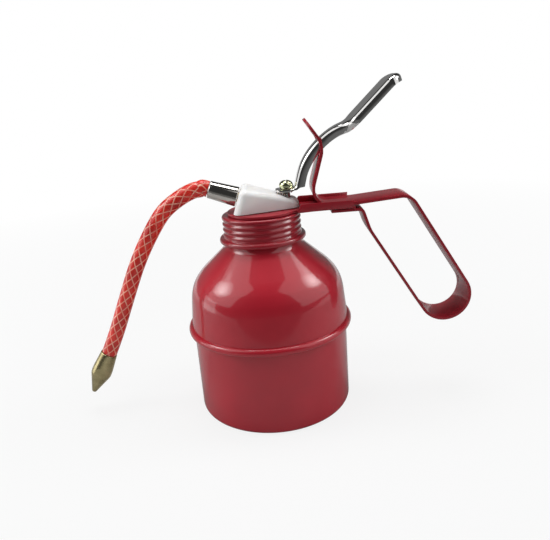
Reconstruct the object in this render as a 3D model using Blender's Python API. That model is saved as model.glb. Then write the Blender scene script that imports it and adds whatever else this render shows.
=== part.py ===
# Pump oil can: a seamed sheet-metal can with a screw cap. The cap carries a bracket, a
# white pump head with a bent hose spout, a strap handle and a thumb lever. Pressing the
# lever's pad lifts the piston rod, and a spring brings it back.
# Metres, +Z up. The origin is the centre of the can's base. The spout points along -X
# and the handle along +X. The whole mechanism lies in the XZ plane.

import math

import bmesh
import bpy
from mathutils import Matrix, Vector

# Clearances
GAP = 0.0003                 # between faces that meet
THREAD_FIT = 0.00045         # radial play of the cap's thread on the neck
BALL_FIT = 0.0003            # between the screw's ball and the lever's hole
CHANNEL_FIT = 0.00045        # between the strap's edges and the channel's sides
PRESS_FIT = 0.0002           # round a part that is pressed or screwed in
BALL_PLAY = 0.00035          # round a valve ball in its chamber
BARREL_PLAY = 0.0004         # between the pump cylinder and the neck's inner wall
OVERRUN = 0.002              # how far a cutter runs past what it cuts

# Can: a drawn cup under a drawn shoulder, folded together in one seam
CUP_R = 0.0356
CAN_SHEET = 0.0005
BASE_ROUND = 0.0022
SEAM_Z = 0.0400
SEAM_R = CUP_R + 0.0024
SEAM_H = 0.0036
SHOULDER_FOOT_R = CUP_R + 0.0007
SHOULDER_EDGE_R = CUP_R - 0.0009
SHOULDER_EDGE_Z = 0.0605
SHOULDER_EDGE_ROUND = 0.0140
NECK_FOOT_Z = 0.0780
NECK_TOP_Z = 0.08865
NECK_ROUND = 0.0012
LIP_EDGE = 0.0003
COLUMNS = 32                 # round the can and its cap

# Screw cap with a rolled thread and a rolled hem
CAP_R = 0.0176
CAP_SHEET = 0.00045
CAP_TOP_Z = 0.0913
CAP_CORNER = 0.0010
HEM_R = 0.0194
HEM_LOW_Z = 0.0792
HEM_HIGH_Z = 0.0816
HEM_FILLET = 0.0003
HEM_STEP = 0.0006            # plain wall between the hem and the thread
PITCH = 0.00245
THREAD_DEPTH = 0.0007
THREAD_CREST_Z = 0.0840
GASKET_T = 0.0014

# Bracket: a round plate on the cap that runs out into a channel arm
BRACKET_T = 0.0010
PLATE_R = 0.0158
PLATE_X = 0.0009
ARM_END_X = 0.0400
ARM_RISE = 0.0037
ARM_CORNER = 0.0013
ARM_NECK_ROUND = 0.0030
ARM_RAMP = 0.0050
ARM_RAMP_FOOT = 0.08

# Strap handle, one bent strip. The upright's points are (x from the rod's axis, z).
STRAP_W = 0.0167
STRAP_T = 0.0012
UPRIGHT_TIP = (0.0093, 0.1299)
UPRIGHT_KNEE = (0.0166, 0.1190, 0.0090)
UPRIGHT_FOOT = (0.0089, 0.0075)
LOOP_RISE_X = 0.0410
LOOP_RISE_ROUND = 0.0300
LOOP_TOP_Z = 0.0952
LOOP_TOP_ROUND = 0.0066
LOOP_END = (0.0805, 0.0476)
LOOP_END_R = 0.0113
LOOP_LEAN = math.radians(59.0)
LOOP_BACK_Z = 0.0812
LOOP_BACK_ROUND = 0.0150
TAB_CORNER_X = 0.0441
TAB_ROUND = 0.0020
TAB_END_X = 0.0306
TIP_ROUND = 0.0074
SLOT_W = 0.0104
SLOT_LOW_Z = 0.1148
SLOT_H = 0.0104
SLOT_CORNER = 0.0012

# Pump head, moulded in white nylon
HEAD_LEFT_X = -0.0116
HEAD_PAST_PUMP = 0.0052
HEAD_LEFT_HALF = 0.0121
HEAD_RIGHT_HALF = 0.0040
HEAD_LEFT_ROUND = 0.0034
HEAD_RIGHT_ROUND = 0.0048
HEAD_TOP_AT_PUMP = 0.0981
HEAD_TOP_SLOPE = math.tan(math.radians(16.0))
SPOUT_RISE = math.radians(19.7)
HEAD_DRAFT = 0.95
HEAD_FILLET = 0.0026
BOSS_R = 0.0055
BOSS_LOW_Z = 0.0874
BOSS_EDGE = 0.0004
NUT_FLATS = 0.0140
NUT_H = 0.0026

# Pump cylinder, rod and valves, upright beside the neck's inner wall
BARREL_R = 0.0031
PUMP_X = (CAP_R - CAP_SHEET - THREAD_FIT - THREAD_DEPTH - CAN_SHEET - BARREL_PLAY - BARREL_R)
HEAD_RIGHT_X = PUMP_X + HEAD_PAST_PUMP
BARREL_BORE = 0.0025
BARREL_TOP_Z = 0.0950
BARREL_LOW_Z = 0.0380
ROD_R = 0.00165
ROD_THIN_R = 0.0011
ROD_STEP_Z = 0.0890
ROD_STEP_H = 0.0004
ROD_TOP_Z = 0.0990
SEAL_W = 0.0007
SEAL_H = 0.0011
STOP_TOP_Z = 0.0875
STOP_H = 0.0024
PISTON_LOW_Z = 0.0500
PISTON_H = 0.0042
CUP_SEAL_H = 0.0030
CUP_SEAL_T = 0.0005
PISTON_FLOOR = 0.0009
SPRING_WIRE = 0.0006
SPRING_OUT_R = 0.0021
SPRING_TURNS = 7
VALVE_FLANGE_H = 0.0027
VALVE_BALL_R = 0.00125
VALVE_LIFT = 0.0012
VALVE_DROP = 0.0005          # from the flange's top to the seat
CAGE_LIP = 0.0002            # how far the cage covers the ball's edge
VALVE_SEAT_R = 0.0008
VALVE_WALL = 0.0005
VALVE_STEM_R = 0.0012
VALVE_STEM_H = 0.0040
TUBE_R = 0.0019
TUBE_WALL = 0.0004
TUBE_LOW_Z = 0.0040
PORT_Z = 0.0942
PORT_R = 0.0006

# Spout: nipple and ferrule on the head's leaning face, hose and nozzle
FERRULE_Z = 0.09885
FERRULE_L = 0.0132
FERRULE_HEAD_R = 0.00418
FERRULE_HOSE_R = 0.00385
FERRULE_BORE = 0.0025
NIPPLE_BORE = 0.0010
NIPPLE_DEPTH = 0.0042
NIPPLE_EDGE = 0.0005
FERRULE_EDGE = 0.0005
POCKET_DEPTH = 0.0045
CHAMBER_DEPTH = 0.0082
OUTLET_BALL_R = 0.0013
HOSE_D = 0.0071
HOSE_LEAD = 0.0025
HOSE_ROUTE = [(-0.0256, 0.10405), (-0.0296, 0.1036), (-0.0362, 0.1003), (-0.0437, 0.0940),
              (-0.0517, 0.0829), (-0.0586, 0.0708), (-0.06535, 0.05615), (-0.0721, 0.04095)]
NOZZLE_AT = (-0.0782, 0.0288)
NOZZLE_TIP = (-0.0890, 0.0091)
NOZZLE_HOSE_R = 0.0038
NOZZLE_WIDE_R = 0.00475
NOZZLE_WIDE_AT = 0.0120
NOZZLE_TIP_R = 0.0010
NOZZLE_BORE = 0.00045
NOZZLE_SOCKET_R = 0.0016
NOZZLE_EDGE = 0.0004
NOZZLE_WIDE_ROUND = 0.0060

# Ball-headed screw and the lever it holds. The lever's points are (x from the rod's axis, z).
BALL_Z = 0.1026
BALL_R = 0.00305
BALL_CROWN = 0.0021
DRIVE_SLOT_W = 0.0008
DRIVE_SLOT_DEPTH = 0.0011
SHANK_R = 0.0010
SHANK_L = 0.0050
SCREW_COLUMNS = 20           # the ball and its hole in the lever, facet for facet
LEVER_T = 0.0009
TONGUE_TIP_X = -0.0048
TONGUE_TOP_Z = 0.1009
TONGUE_HALF = 0.00425
TONGUE_CORNER = (0.0034, 0.0018)
BEND_RISE = 0.7              # share of the bend's radius at which the flange starts
LEVER_KNEE = (0.0091, 0.1223, 0.0292)
PAD_ROOT = (0.0273, 0.1277, 0.0060)
PAD_DROOP = (0.0452, 0.1445, 0.0100)
PAD_TIP = (0.0495, 0.1458)
ARM_HALF = 0.00425
PAD_HALF = 0.0090
PAD_FLARE = 0.0060
PAD_TIP_LENGTH = 0.0065
LEVER_DEPTH = 0.0042
PAD_DEPTH = 0.0036
LEVER_ROUND = 0.0010

RED = (0.43, 0.009, 0.021)


# Helpers

def finish(name, colour, roughness, metallic=0.0):
    made = bpy.data.materials.new(name)
    made.use_nodes = True
    shader = made.node_tree.nodes["Principled BSDF"]
    shader.inputs["Base Color"].default_value = (*colour, 1.0)
    shader.inputs["Roughness"].default_value = roughness
    shader.inputs["Metallic"].default_value = metallic
    return made


def put(name, bm, material, matrix=None, sharp=35.0):
    """Close the mesh, turn its faces outwards and add it to the scene."""
    bmesh.ops.remove_doubles(bm, verts=bm.verts, dist=1e-7)
    bmesh.ops.recalc_face_normals(bm, faces=bm.faces)
    if bm.calc_volume(signed=True) < 0:
        bmesh.ops.reverse_faces(bm, faces=bm.faces)
    mesh = bpy.data.meshes.new(name)
    bm.to_mesh(mesh)
    bm.free()
    mesh.shade_smooth()
    mesh.set_sharp_from_angle(angle=math.radians(sharp))
    mesh.materials.append(material)
    made = bpy.data.objects.new(name, mesh)
    bpy.context.scene.collection.objects.link(made)
    if matrix is not None:
        made.matrix_world = matrix
    return made


def as_cutter(made):
    made.hide_render = True
    made.display_type = "WIRE"
    return made


def boolean(target, tool, operation):
    change = target.modifiers.new(tool.name, "BOOLEAN")
    change.operation = operation
    change.solver = "EXACT"
    change.object = as_cutter(tool)


def rounded(corners, step=math.radians(22.0)):
    """Outline through (x, y) or (x, y, radius) corners, each radius as an arc.
    A radius is limited by the shorter leg at its corner."""
    points = [Vector(c[:2]) for c in corners]
    path = []
    for i, corner in enumerate(corners):
        radius = corner[2] if len(corner) > 2 else 0.0
        if radius <= 0 or i in (0, len(corners) - 1):
            path.append(points[i])
            continue
        back = points[i - 1] - points[i]
        ahead = points[i + 1] - points[i]
        turn = math.pi - back.angle(ahead)
        reach = min(radius * math.tan(turn / 2), back.length * 0.999, ahead.length * 0.999)
        radius = reach / math.tan(turn / 2)
        start = points[i] + back.normalized() * reach
        centre = points[i] + (back.normalized() + ahead.normalized()).normalized() * (
            radius / math.cos(turn / 2))
        sweep = turn if back.cross(ahead) < 0 else -turn
        count = max(1, round(turn / step))
        for k in range(count + 1):
            path.append(centre + Matrix.Rotation(sweep * k / count, 2) @ (start - centre))
    return path


def closed_round(corners, step=math.radians(22.0)):
    """The same for a closed outline: the first corner is rounded too."""
    middle = [(corners[0][0] + corners[-1][0]) / 2, (corners[0][1] + corners[-1][1]) / 2]
    return rounded([middle, *corners, middle], step)[:-1]


def beside(path, distance, closed=False):
    """Copy of a path moved to its left by the distance, with mitred corners."""
    moved = []
    count = len(path)
    for i, point in enumerate(path):
        before = point - path[i - 1] if (closed or i > 0) else path[1] - point
        after = path[(i + 1) % count] - point if (closed or i < count - 1) else before
        sides = [Vector((-leg.y, leg.x)).normalized() for leg in (before, after)]
        normal = (sides[0] + sides[1]).normalized()
        moved.append(point + normal * (distance / max(0.35, normal.dot(sides[0]))))
    return moved


def sheet(path, thickness):
    """Closed outline of a sheet whose outer face is the path."""
    return list(path) + beside(path, thickness)[::-1]


def turned(outline, columns, swell=None):
    """Solid turned about Z from a closed outline of (radius, z) or (radius, z, weight).
    swell(z, angle) times the weight is added to a point's radius."""
    bm = bmesh.new()
    rings = []
    for point in outline:
        if point[0] < 1e-6:
            rings.append([bm.verts.new((0, 0, point[1]))] * columns)
            continue
        ring = []
        for k in range(columns):
            angle = 2 * math.pi * k / columns
            radius = point[0]
            if len(point) > 2 and swell:
                radius += point[2] * swell(point[1], angle)
            ring.append(bm.verts.new((radius * math.cos(angle), radius * math.sin(angle), point[1])))
        rings.append(ring)
    for i, ring in enumerate(rings):
        following = rings[(i + 1) % len(rings)]
        for k in range(columns):
            n = (k + 1) % columns
            corners = dict.fromkeys((ring[k], ring[n], following[n], following[k]))
            if len(corners) > 2:
                bm.faces.new(corners)
    return bm


def loft(rings):
    """Closed solid through rings with the same number of points."""
    bm = bmesh.new()
    loops = [[bm.verts.new(point) for point in ring] for ring in rings]
    count = len(loops[0])
    for low, high in zip(loops, loops[1:]):
        for k in range(count):
            n = (k + 1) % count
            bm.faces.new((low[k], low[n], high[n], high[k]))
    bm.faces.new(loops[0][::-1])
    bm.faces.new(loops[-1])
    return bm


def smoothstep(low, high, value):
    share = min(1.0, max(0.0, (value - low) / (high - low)))
    return share * share * (3 - 2 * share)


def upright(x=0.0):
    return Matrix.Translation((x, 0, 0))


def along(start, direction):
    """Placement whose Z axis runs along a direction in the XZ plane."""
    z_axis = Vector((direction[0], 0, direction[1])).normalized()
    y_axis = Vector((0, 1, 0))
    x_axis = y_axis.cross(z_axis)
    turn = Matrix((x_axis, y_axis, z_axis)).transposed().to_4x4()
    return Matrix.Translation((start[0], 0, start[1])) @ turn


def from_rod(point):
    """Point whose x is counted from the rod's axis, in the object's own frame."""
    return (point[0] + PUMP_X, *point[1:])


def lengths(path):
    """Distance along the path at each of its points."""
    total = [0.0]
    for a, b in zip(path, path[1:]):
        total.append(total[-1] + (b - a).length)
    return total


def at(path, distance):
    """Point and right-hand normal at a distance along a path in the XZ plane."""
    marks = lengths(path)
    i = 0
    while i < len(path) - 2 and marks[i + 1] < distance - 1e-9:
        i += 1
    share = (distance - marks[i]) / (marks[i + 1] - marks[i])
    point = path[i].lerp(path[i + 1], share)
    left = beside(path, -1.0)
    normal = (left[i] - path[i]).lerp(left[i + 1] - path[i + 1], min(1.0, max(0.0, share)))
    return point, normal


def thread(z, angle):
    """Right-hand rolled thread: 0 on the crest, minus its depth in the valley."""
    phase = 2 * math.pi * (z - THREAD_CREST_Z) / PITCH - angle
    return -THREAD_DEPTH * (1 - math.cos(phase)) / 2


def thread_rows(radius, low, high, per_pitch):
    """Threaded wall from low to high, plain at the low end."""
    count = max(2, round((high - low) / PITCH * per_pitch))
    rows = []
    for i in range(count + 1):
        weight = min(1.0, i / 2)
        rows.append((radius, low + (high - low) * i / count, weight))
    return rows


# Can

def build_cup(material):
    """Cup whose rim is hooked outwards and down into the shoulder's folded seam."""
    hook_r = SEAM_R - CAN_SHEET * 2 - GAP * 1.5
    hook_z = SEAM_Z + SEAM_H / 2 - CAN_SHEET * 2 - GAP * 2.5
    path = rounded([(0, 0), (CUP_R, 0, BASE_ROUND), (CUP_R, hook_z), (hook_r, hook_z),
                    (hook_r, SEAM_Z - CAN_SHEET)], math.radians(30))
    return put("can_cup", turned(sheet(path, CAN_SHEET), COLUMNS), material)


def seam_path():
    """Folded seam, from the lip under the cup's hook up to the shoulder's foot."""
    low = SEAM_Z - SEAM_H / 2
    high = SEAM_Z + SEAM_H / 2
    bead = SEAM_H * 0.47
    return rounded([(CUP_R + GAP, low), (SEAM_R, low, bead), (SEAM_R, high, bead),
                    (SHOULDER_FOOT_R, high)], math.radians(30))


def neck_crest():
    return CAP_R - CAP_SHEET - THREAD_FIT


def build_shoulder(material):
    neck_r = neck_crest()
    valley_r = neck_r - THREAD_DEPTH
    seam = seam_path()
    edge = (SHOULDER_EDGE_R, SHOULDER_EDGE_Z, SHOULDER_EDGE_ROUND)
    dome = rounded([seam[-1], edge, (neck_r, NECK_FOOT_Z, NECK_ROUND), (neck_r, HEM_LOW_Z)],
                   math.radians(9))
    outer = [(p.x, p.y) for p in seam + dome[1:-1]]
    lip = NECK_TOP_Z - LIP_EDGE
    outer += thread_rows(neck_r, HEM_LOW_Z, lip - LIP_EDGE, 4)
    outer += [(valley_r, lip), (valley_r, NECK_TOP_Z)]
    bend_z = NECK_FOOT_Z + THREAD_DEPTH
    plain = seam + rounded([seam[-1], edge, (valley_r, bend_z), (valley_r, NECK_TOP_Z)],
                           math.radians(12))[1:]
    inner = [(p.x, p.y) for p in beside(plain, CAN_SHEET)[::-1]]
    return put("can_shoulder", turned(outer + inner, COLUMNS, thread), material)


def build_gasket(material):
    """Ring on the neck's rim. It leaves room for the pump cylinder beside it."""
    outer = neck_crest() - THREAD_DEPTH
    inner = PUMP_X + BARREL_R + GAP
    low = NECK_TOP_Z + GAP
    outline = [(outer, low), (outer, low + GASKET_T), (inner, low + GASKET_T), (inner, low)]
    return put("cap_gasket", turned(outline, COLUMNS), material)


# Screw cap and what it carries

def boss_hole():
    return BOSS_R + GAP


def barrel_hole(name, low, high):
    """Cutter for the hole that the pump cylinder passes through."""
    radius = BARREL_R + GAP
    outline = [(0, low), (radius, low), (radius, high), (0, high)]
    return put(name, turned(outline, 20), cutter_finish, upright(PUMP_X))


def build_cap(material):
    hem_round = (HEM_HIGH_Z - HEM_LOW_Z) * 0.46
    low = HEM_HIGH_Z + HEM_STEP
    hem = [(CAP_R + GAP, HEM_LOW_Z), (HEM_R, HEM_LOW_Z, hem_round), (HEM_R, HEM_HIGH_Z, hem_round),
           (CAP_R, HEM_HIGH_Z, HEM_FILLET), (CAP_R, low)]
    path = rounded(hem, math.radians(45))
    high = CAP_TOP_Z - CAP_CORNER
    outer = [(p.x, p.y) for p in path[:-1]] + thread_rows(CAP_R, low, high, 4)
    outer += [(CAP_R - CAP_CORNER * 0.3, CAP_TOP_Z - CAP_CORNER * 0.3, 0.5),
              (CAP_R - CAP_CORNER, CAP_TOP_Z), (boss_hole(), CAP_TOP_Z)]
    inner_r = CAP_R - CAP_SHEET
    inner = [(p.x, p.y) for p in beside(path, CAP_SHEET)[:-1]]
    inner += thread_rows(inner_r, low, high - CAP_SHEET * 0.6, 4)
    inner += [(inner_r - CAP_CORNER, CAP_TOP_Z - CAP_SHEET), (boss_hole(), CAP_TOP_Z - CAP_SHEET)]
    made = put("screw_cap", turned(outer + inner[::-1], COLUMNS, thread), material)
    hole = barrel_hole("cap_barrel_hole", CAP_TOP_Z - CAP_SHEET - OVERRUN, CAP_TOP_Z + OVERRUN)
    boolean(made, hole, "DIFFERENCE")
    return made


def build_bracket(material):
    """Round plate that narrows into a channel. The mesh is its lower face, thickened up."""
    low = CAP_TOP_Z + GAP
    half = STRAP_W / 2 + CHANNEL_FIT + BRACKET_T
    floor_half = half - ARM_CORNER
    blend_y = floor_half + ARM_NECK_ROUND
    blend_x = PLATE_X + math.sqrt((PLATE_R + ARM_NECK_ROUND) ** 2 - blend_y ** 2)
    meet = math.atan2(blend_y, blend_x - PLATE_X)
    plan = []
    for k in range(4):
        angle = math.pi * 1.5 + (meet - math.pi / 2) * k / 3
        plan.append((blend_x + ARM_NECK_ROUND * math.cos(angle),
                     blend_y + ARM_NECK_ROUND * math.sin(angle)))
    count = 24
    for k in range(1, count):
        angle = meet + (2 * math.pi - 2 * meet) * k / count
        plan.append((PLATE_X + PLATE_R * math.cos(angle), PLATE_R * math.sin(angle)))
    plan += [(x, -y) for x, y in plan[3::-1]]
    bm = bmesh.new()

    def row(x, height, side):
        levels = [(floor_half, 0.0), (half - ARM_CORNER * 0.3, ARM_CORNER * 0.3),
                  (half, ARM_CORNER), (half, height)]
        return [bm.verts.new((x, side * y, low + z)) for y, z in levels]

    sides = {}
    for side in (-1, 1):
        rows = []
        for share in (0.0, 0.25, 0.5, 0.75, 1.0):
            height = ARM_CORNER + (ARM_RISE - ARM_CORNER) * max(ARM_RAMP_FOOT, smoothstep(0, 1, share))
            rows.append(row(blend_x + ARM_RAMP * share, height, side))
        rows.append(row(ARM_END_X, ARM_RISE, side))
        for a, b in zip(rows, rows[1:]):
            for k in range(3):
                bm.faces.new((a[k], b[k], b[k + 1], a[k + 1]))
        sides[side] = [line[0] for line in rows]
    edge = [bm.verts.new((x, y, low)) for x, y in plan[1:-1]]
    bm.faces.new(sides[1][::-1] + edge + sides[-1])
    bmesh.ops.recalc_face_normals(bm, faces=bm.faces)
    widest = max(bm.faces, key=lambda face: face.calc_area())
    if widest.normal.z > 0:
        bmesh.ops.reverse_faces(bm, faces=bm.faces)
    made = put_shell("mounting_bracket", bm, material, BRACKET_T)
    below, above = low - OVERRUN, low + BRACKET_T + OVERRUN
    hole = [(0, below), (boss_hole(), below), (boss_hole(), above), (0, above)]
    boolean(made, put("bracket_boss_hole", turned(hole, 24), cutter_finish), "DIFFERENCE")
    boolean(made, barrel_hole("bracket_barrel_hole", below, above), "DIFFERENCE")
    return made


def put_shell(name, bm, material, thickness):
    """Add an open sheet whose faces look outwards, thickened inwards."""
    mesh = bpy.data.meshes.new(name)
    bm.to_mesh(mesh)
    bm.free()
    mesh.shade_smooth()
    mesh.set_sharp_from_angle(angle=math.radians(35))
    mesh.materials.append(material)
    made = bpy.data.objects.new(name, mesh)
    bpy.context.scene.collection.objects.link(made)
    wall = made.modifiers.new("wall", "SOLIDIFY")
    wall.thickness = thickness
    wall.offset = -1.0
    wall.use_even_offset = True
    return made


def loop_corner(side, forward):
    """Corner of the strap's far end, from its centre, radius and lean."""
    run = Vector((math.cos(LOOP_LEAN), -math.sin(LOOP_LEAN)))
    across = Vector((math.sin(LOOP_LEAN), math.cos(LOOP_LEAN)))
    return Vector(LOOP_END) + across * (side * LOOP_END_R) + run * (forward * LOOP_END_R)


def strap_path():
    """Middle of the strap from the upright's tip, round the loop, to the tab under the arm."""
    run = Vector((math.cos(LOOP_LEAN), -math.sin(LOOP_LEAN)))
    flat_z = CAP_TOP_Z + GAP + BRACKET_T + GAP + STRAP_T / 2
    tab_z = CAP_TOP_Z + GAP - GAP - STRAP_T / 2
    front = loop_corner(1, 1)
    back = loop_corner(-1, 1)
    top_x = front.x - run.x / -run.y * (LOOP_TOP_Z - front.y)
    back_x = back.x - run.x / -run.y * (LOOP_BACK_Z - back.y)
    corners = [from_rod(UPRIGHT_TIP), from_rod(UPRIGHT_KNEE),
               from_rod((UPRIGHT_FOOT[0], flat_z, UPRIGHT_FOOT[1])),
               (LOOP_RISE_X, flat_z, LOOP_RISE_ROUND), (top_x, LOOP_TOP_Z, LOOP_TOP_ROUND),
               (*front, LOOP_END_R), (*back, LOOP_END_R), (back_x, LOOP_BACK_Z, LOOP_BACK_ROUND),
               (TAB_CORNER_X, tab_z, TAB_ROUND), (TAB_END_X, tab_z)]
    return rounded(corners, math.radians(15))


def build_strap(material):
    path = strap_path()
    marks = lengths(path)
    tip_marks = [TIP_ROUND * (1 - math.cos(math.radians(a))) for a in (0, 25, 45, 65, 90)]
    stations = sorted(tip_marks + [m for m in marks if m > TIP_ROUND * 1.1])
    rings = []
    for s in stations:
        half = STRAP_W / 2
        if s < TIP_ROUND:
            half += math.sqrt(TIP_ROUND ** 2 - (TIP_ROUND - s) ** 2) - TIP_ROUND
        point, normal = at(path, s)
        inner = point + normal * STRAP_T / 2
        outer = point - normal * STRAP_T / 2
        rings.append([(inner.x, -half, inner.y), (inner.x, half, inner.y),
                      (outer.x, half, outer.y), (outer.x, -half, outer.y)])
    made = put("handle_strap", loft(rings), material)
    corner = SLOT_W * 0.3
    high = SLOT_LOW_Z + SLOT_H
    plan = closed_round([(-SLOT_W / 2, SLOT_LOW_Z, SLOT_CORNER), (SLOT_W / 2, SLOT_LOW_Z, SLOT_CORNER),
                         (SLOT_W / 2, high, corner), (-SLOT_W / 2, high, corner)])
    near = PUMP_X + UPRIGHT_TIP[0] - OVERRUN * 2
    far = PUMP_X + UPRIGHT_KNEE[0] + OVERRUN * 2
    slot = loft([[(x, p.x, p.y) for p in plan] for x in (near, far)])
    boolean(made, put("upright_slot", slot, cutter_finish), "DIFFERENCE")
    return made


# Pump head

def head_low():
    return CAP_TOP_Z + GAP + BRACKET_T + GAP


def head_top(x):
    return HEAD_TOP_AT_PUMP + HEAD_TOP_SLOPE * (PUMP_X - x)


def spout_axis():
    """Point on the head's leaning face and unit direction of the spout, square to the face."""
    direction = Vector((-math.cos(SPOUT_RISE), math.sin(SPOUT_RISE)))
    return Vector((HEAD_LEFT_X + math.tan(SPOUT_RISE) * (FERRULE_Z - head_low()), FERRULE_Z)), direction


def build_head(material):
    plan = closed_round([(HEAD_LEFT_X, -HEAD_LEFT_HALF, HEAD_LEFT_ROUND),
                         (HEAD_RIGHT_X, -HEAD_RIGHT_HALF, HEAD_RIGHT_ROUND),
                         (HEAD_RIGHT_X, HEAD_RIGHT_HALF, HEAD_RIGHT_ROUND),
                         (HEAD_LEFT_X, HEAD_LEFT_HALF, HEAD_LEFT_ROUND)])
    low = head_low()
    highest = head_top(HEAD_LEFT_X) - low

    def ring(inset, drop):
        """Outline under the sloping top. The wall leans most at the left and not at the right."""
        points = []
        for p in beside(plan, inset, closed=True):
            lean = math.tan(SPOUT_RISE) * (HEAD_RIGHT_X - p.x) / (HEAD_RIGHT_X - HEAD_LEFT_X)
            rise = (head_top(p.x) - drop - low) / (1 + HEAD_TOP_SLOPE * lean)
            narrow = 1 - (1 - HEAD_DRAFT) * rise / highest
            points.append((p.x + lean * rise, p.y * narrow, low + rise))
        return points

    rings = [[(p.x, p.y, low) for p in plan]]
    for degrees in (0, 30, 60, 90):
        turn = math.radians(degrees)
        rings.append(ring(HEAD_FILLET * (1 - math.cos(turn)), HEAD_FILLET * (1 - math.sin(turn))))
    made = put("pump_head", loft(rings), material, sharp=40)
    boss = [(0, BOSS_LOW_Z), (BOSS_R - BOSS_EDGE, BOSS_LOW_Z), (BOSS_R, BOSS_LOW_Z + BOSS_EDGE),
            (BOSS_R, low + BOSS_EDGE), (0, low + BOSS_EDGE)]
    boolean(made, put("head_boss", turned(boss, 24), cutter_finish), "UNION")
    boolean(made, put("head_pump_bore", turned(pump_bore(), 20), cutter_finish, upright(PUMP_X)),
            "DIFFERENCE")
    start, direction = spout_axis()
    boolean(made, put("head_spout_bore", turned(spout_bore(), 16), cutter_finish,
                      along(start, direction)), "DIFFERENCE")
    boolean(made, outlet_port("head_port"), "DIFFERENCE")
    return made


def gland_top():
    return BARREL_TOP_Z + GAP + SEAL_H + GAP


def pump_bore():
    """Socket for the cylinder, gland for the rod's seal and the rod's own bore."""
    socket = BARREL_R + GAP
    gland = ROD_R + GAP + SEAL_W + GAP
    rod = ROD_R + GAP
    seat = BARREL_TOP_Z + GAP
    below = head_low() - OVERRUN
    above = head_top(HEAD_LEFT_X) + OVERRUN
    return [(0, below), (socket, below), (socket, seat), (gland, seat), (gland, gland_top()),
            (rod, gland_top()), (rod, above), (0, above)]


def passage_end():
    """Distance back along the spout's axis where it meets the port."""
    start, direction = spout_axis()
    return (PORT_Z - start.y) / direction.y


def spout_bore():
    """Pocket for the nipple, chamber for the outlet ball and the passage behind it."""
    pocket = FERRULE_BORE
    chamber = OUTLET_BALL_R + BALL_PLAY
    return [(0, passage_end()), (VALVE_SEAT_R, passage_end()), (VALVE_SEAT_R, -CHAMBER_DEPTH),
            (chamber, -CHAMBER_DEPTH), (chamber, -POCKET_DEPTH), (pocket, -POCKET_DEPTH),
            (pocket, OVERRUN), (0, OVERRUN)]


def outlet_port(name):
    """Level drilling from the passage to the bore of the pump cylinder."""
    start, direction = spout_axis()
    meet_x = (start + direction * passage_end()).x
    length = PUMP_X - BARREL_BORE * 0.8 - meet_x + PORT_R
    outline = [(0, 0), (PORT_R, 0), (PORT_R, length), (0, length)]
    return put(name, turned(outline, 12), cutter_finish, along((meet_x - PORT_R, PORT_Z), (1, 0)))


def build_nut(material):
    def hexagon(_, angle):
        return NUT_FLATS / 2 / math.cos((angle + math.pi / 6) % (math.pi / 3) - math.pi / 6)

    high = CAP_TOP_Z - CAP_SHEET - GAP
    low = high - NUT_H
    outline = [(1e-5, low, 1.0), (1e-5, high, 1.0), (boss_hole(), high), (boss_hole(), low)]
    return put("head_lock_nut", turned(outline, 24, hexagon), material)


# Pump cylinder, rod and valves

def build_barrel(material):
    outline = [(BARREL_R, BARREL_LOW_Z), (BARREL_R, BARREL_TOP_Z), (BARREL_BORE, BARREL_TOP_Z),
               (BARREL_BORE, BARREL_LOW_Z)]
    made = put("pump_barrel", turned(outline, 20), material, upright(PUMP_X))
    boolean(made, outlet_port("barrel_port"), "DIFFERENCE")
    return made


def build_rod_seal(material):
    inner = ROD_R + GAP
    low = BARREL_TOP_Z + GAP
    cut = SEAL_W * 0.3
    corners = [(inner + cut, low), (inner + SEAL_W - cut, low), (inner + SEAL_W, low + SEAL_H / 2),
               (inner + SEAL_W - cut, low + SEAL_H), (inner + cut, low + SEAL_H),
               (inner, low + SEAL_H / 2)]
    return put("rod_seal", turned(corners, 16), material, upright(PUMP_X))


def piston_top():
    return PISTON_LOW_Z + PISTON_H


def build_spring_stop(material):
    outer = BARREL_BORE - GAP
    inner = ROD_THIN_R + GAP
    outline = [(outer, STOP_TOP_Z - STOP_H), (outer, STOP_TOP_Z), (inner, STOP_TOP_Z),
               (inner, STOP_TOP_Z - STOP_H)]
    return put("spring_stop", turned(outline, 16), material, upright(PUMP_X))


def build_rod(material):
    """Rod with a thin lower end in the piston and a tapped hole for the screw."""
    end = PISTON_LOW_Z + PISTON_FLOOR + GAP
    hole = SHANK_R + GAP
    depth = ROD_TOP_Z - SHANK_L - GAP
    outline = [(0, end), (ROD_THIN_R, end), (ROD_THIN_R, ROD_STEP_Z), (ROD_R, ROD_STEP_Z + ROD_STEP_H),
               (ROD_R, ROD_TOP_Z), (hole, ROD_TOP_Z), (hole, depth), (0, depth)]
    return put("piston_rod", turned(outline, 16), material, upright(PUMP_X))


def build_piston(material):
    """Piston body with a blind hole for the rod and a spigot for the cup seal."""
    outer = BARREL_BORE - GAP
    hole = ROD_THIN_R + PRESS_FIT
    spigot = ROD_THIN_R + PRESS_FIT
    outline = [(0, PISTON_LOW_Z - CUP_SEAL_H), (spigot, PISTON_LOW_Z - CUP_SEAL_H),
               (spigot, PISTON_LOW_Z), (outer, PISTON_LOW_Z), (outer, piston_top()),
               (hole, piston_top()), (hole, PISTON_LOW_Z + PISTON_FLOOR),
               (0, PISTON_LOW_Z + PISTON_FLOOR)]
    return put("piston", turned(outline, 16), material, upright(PUMP_X))


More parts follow.
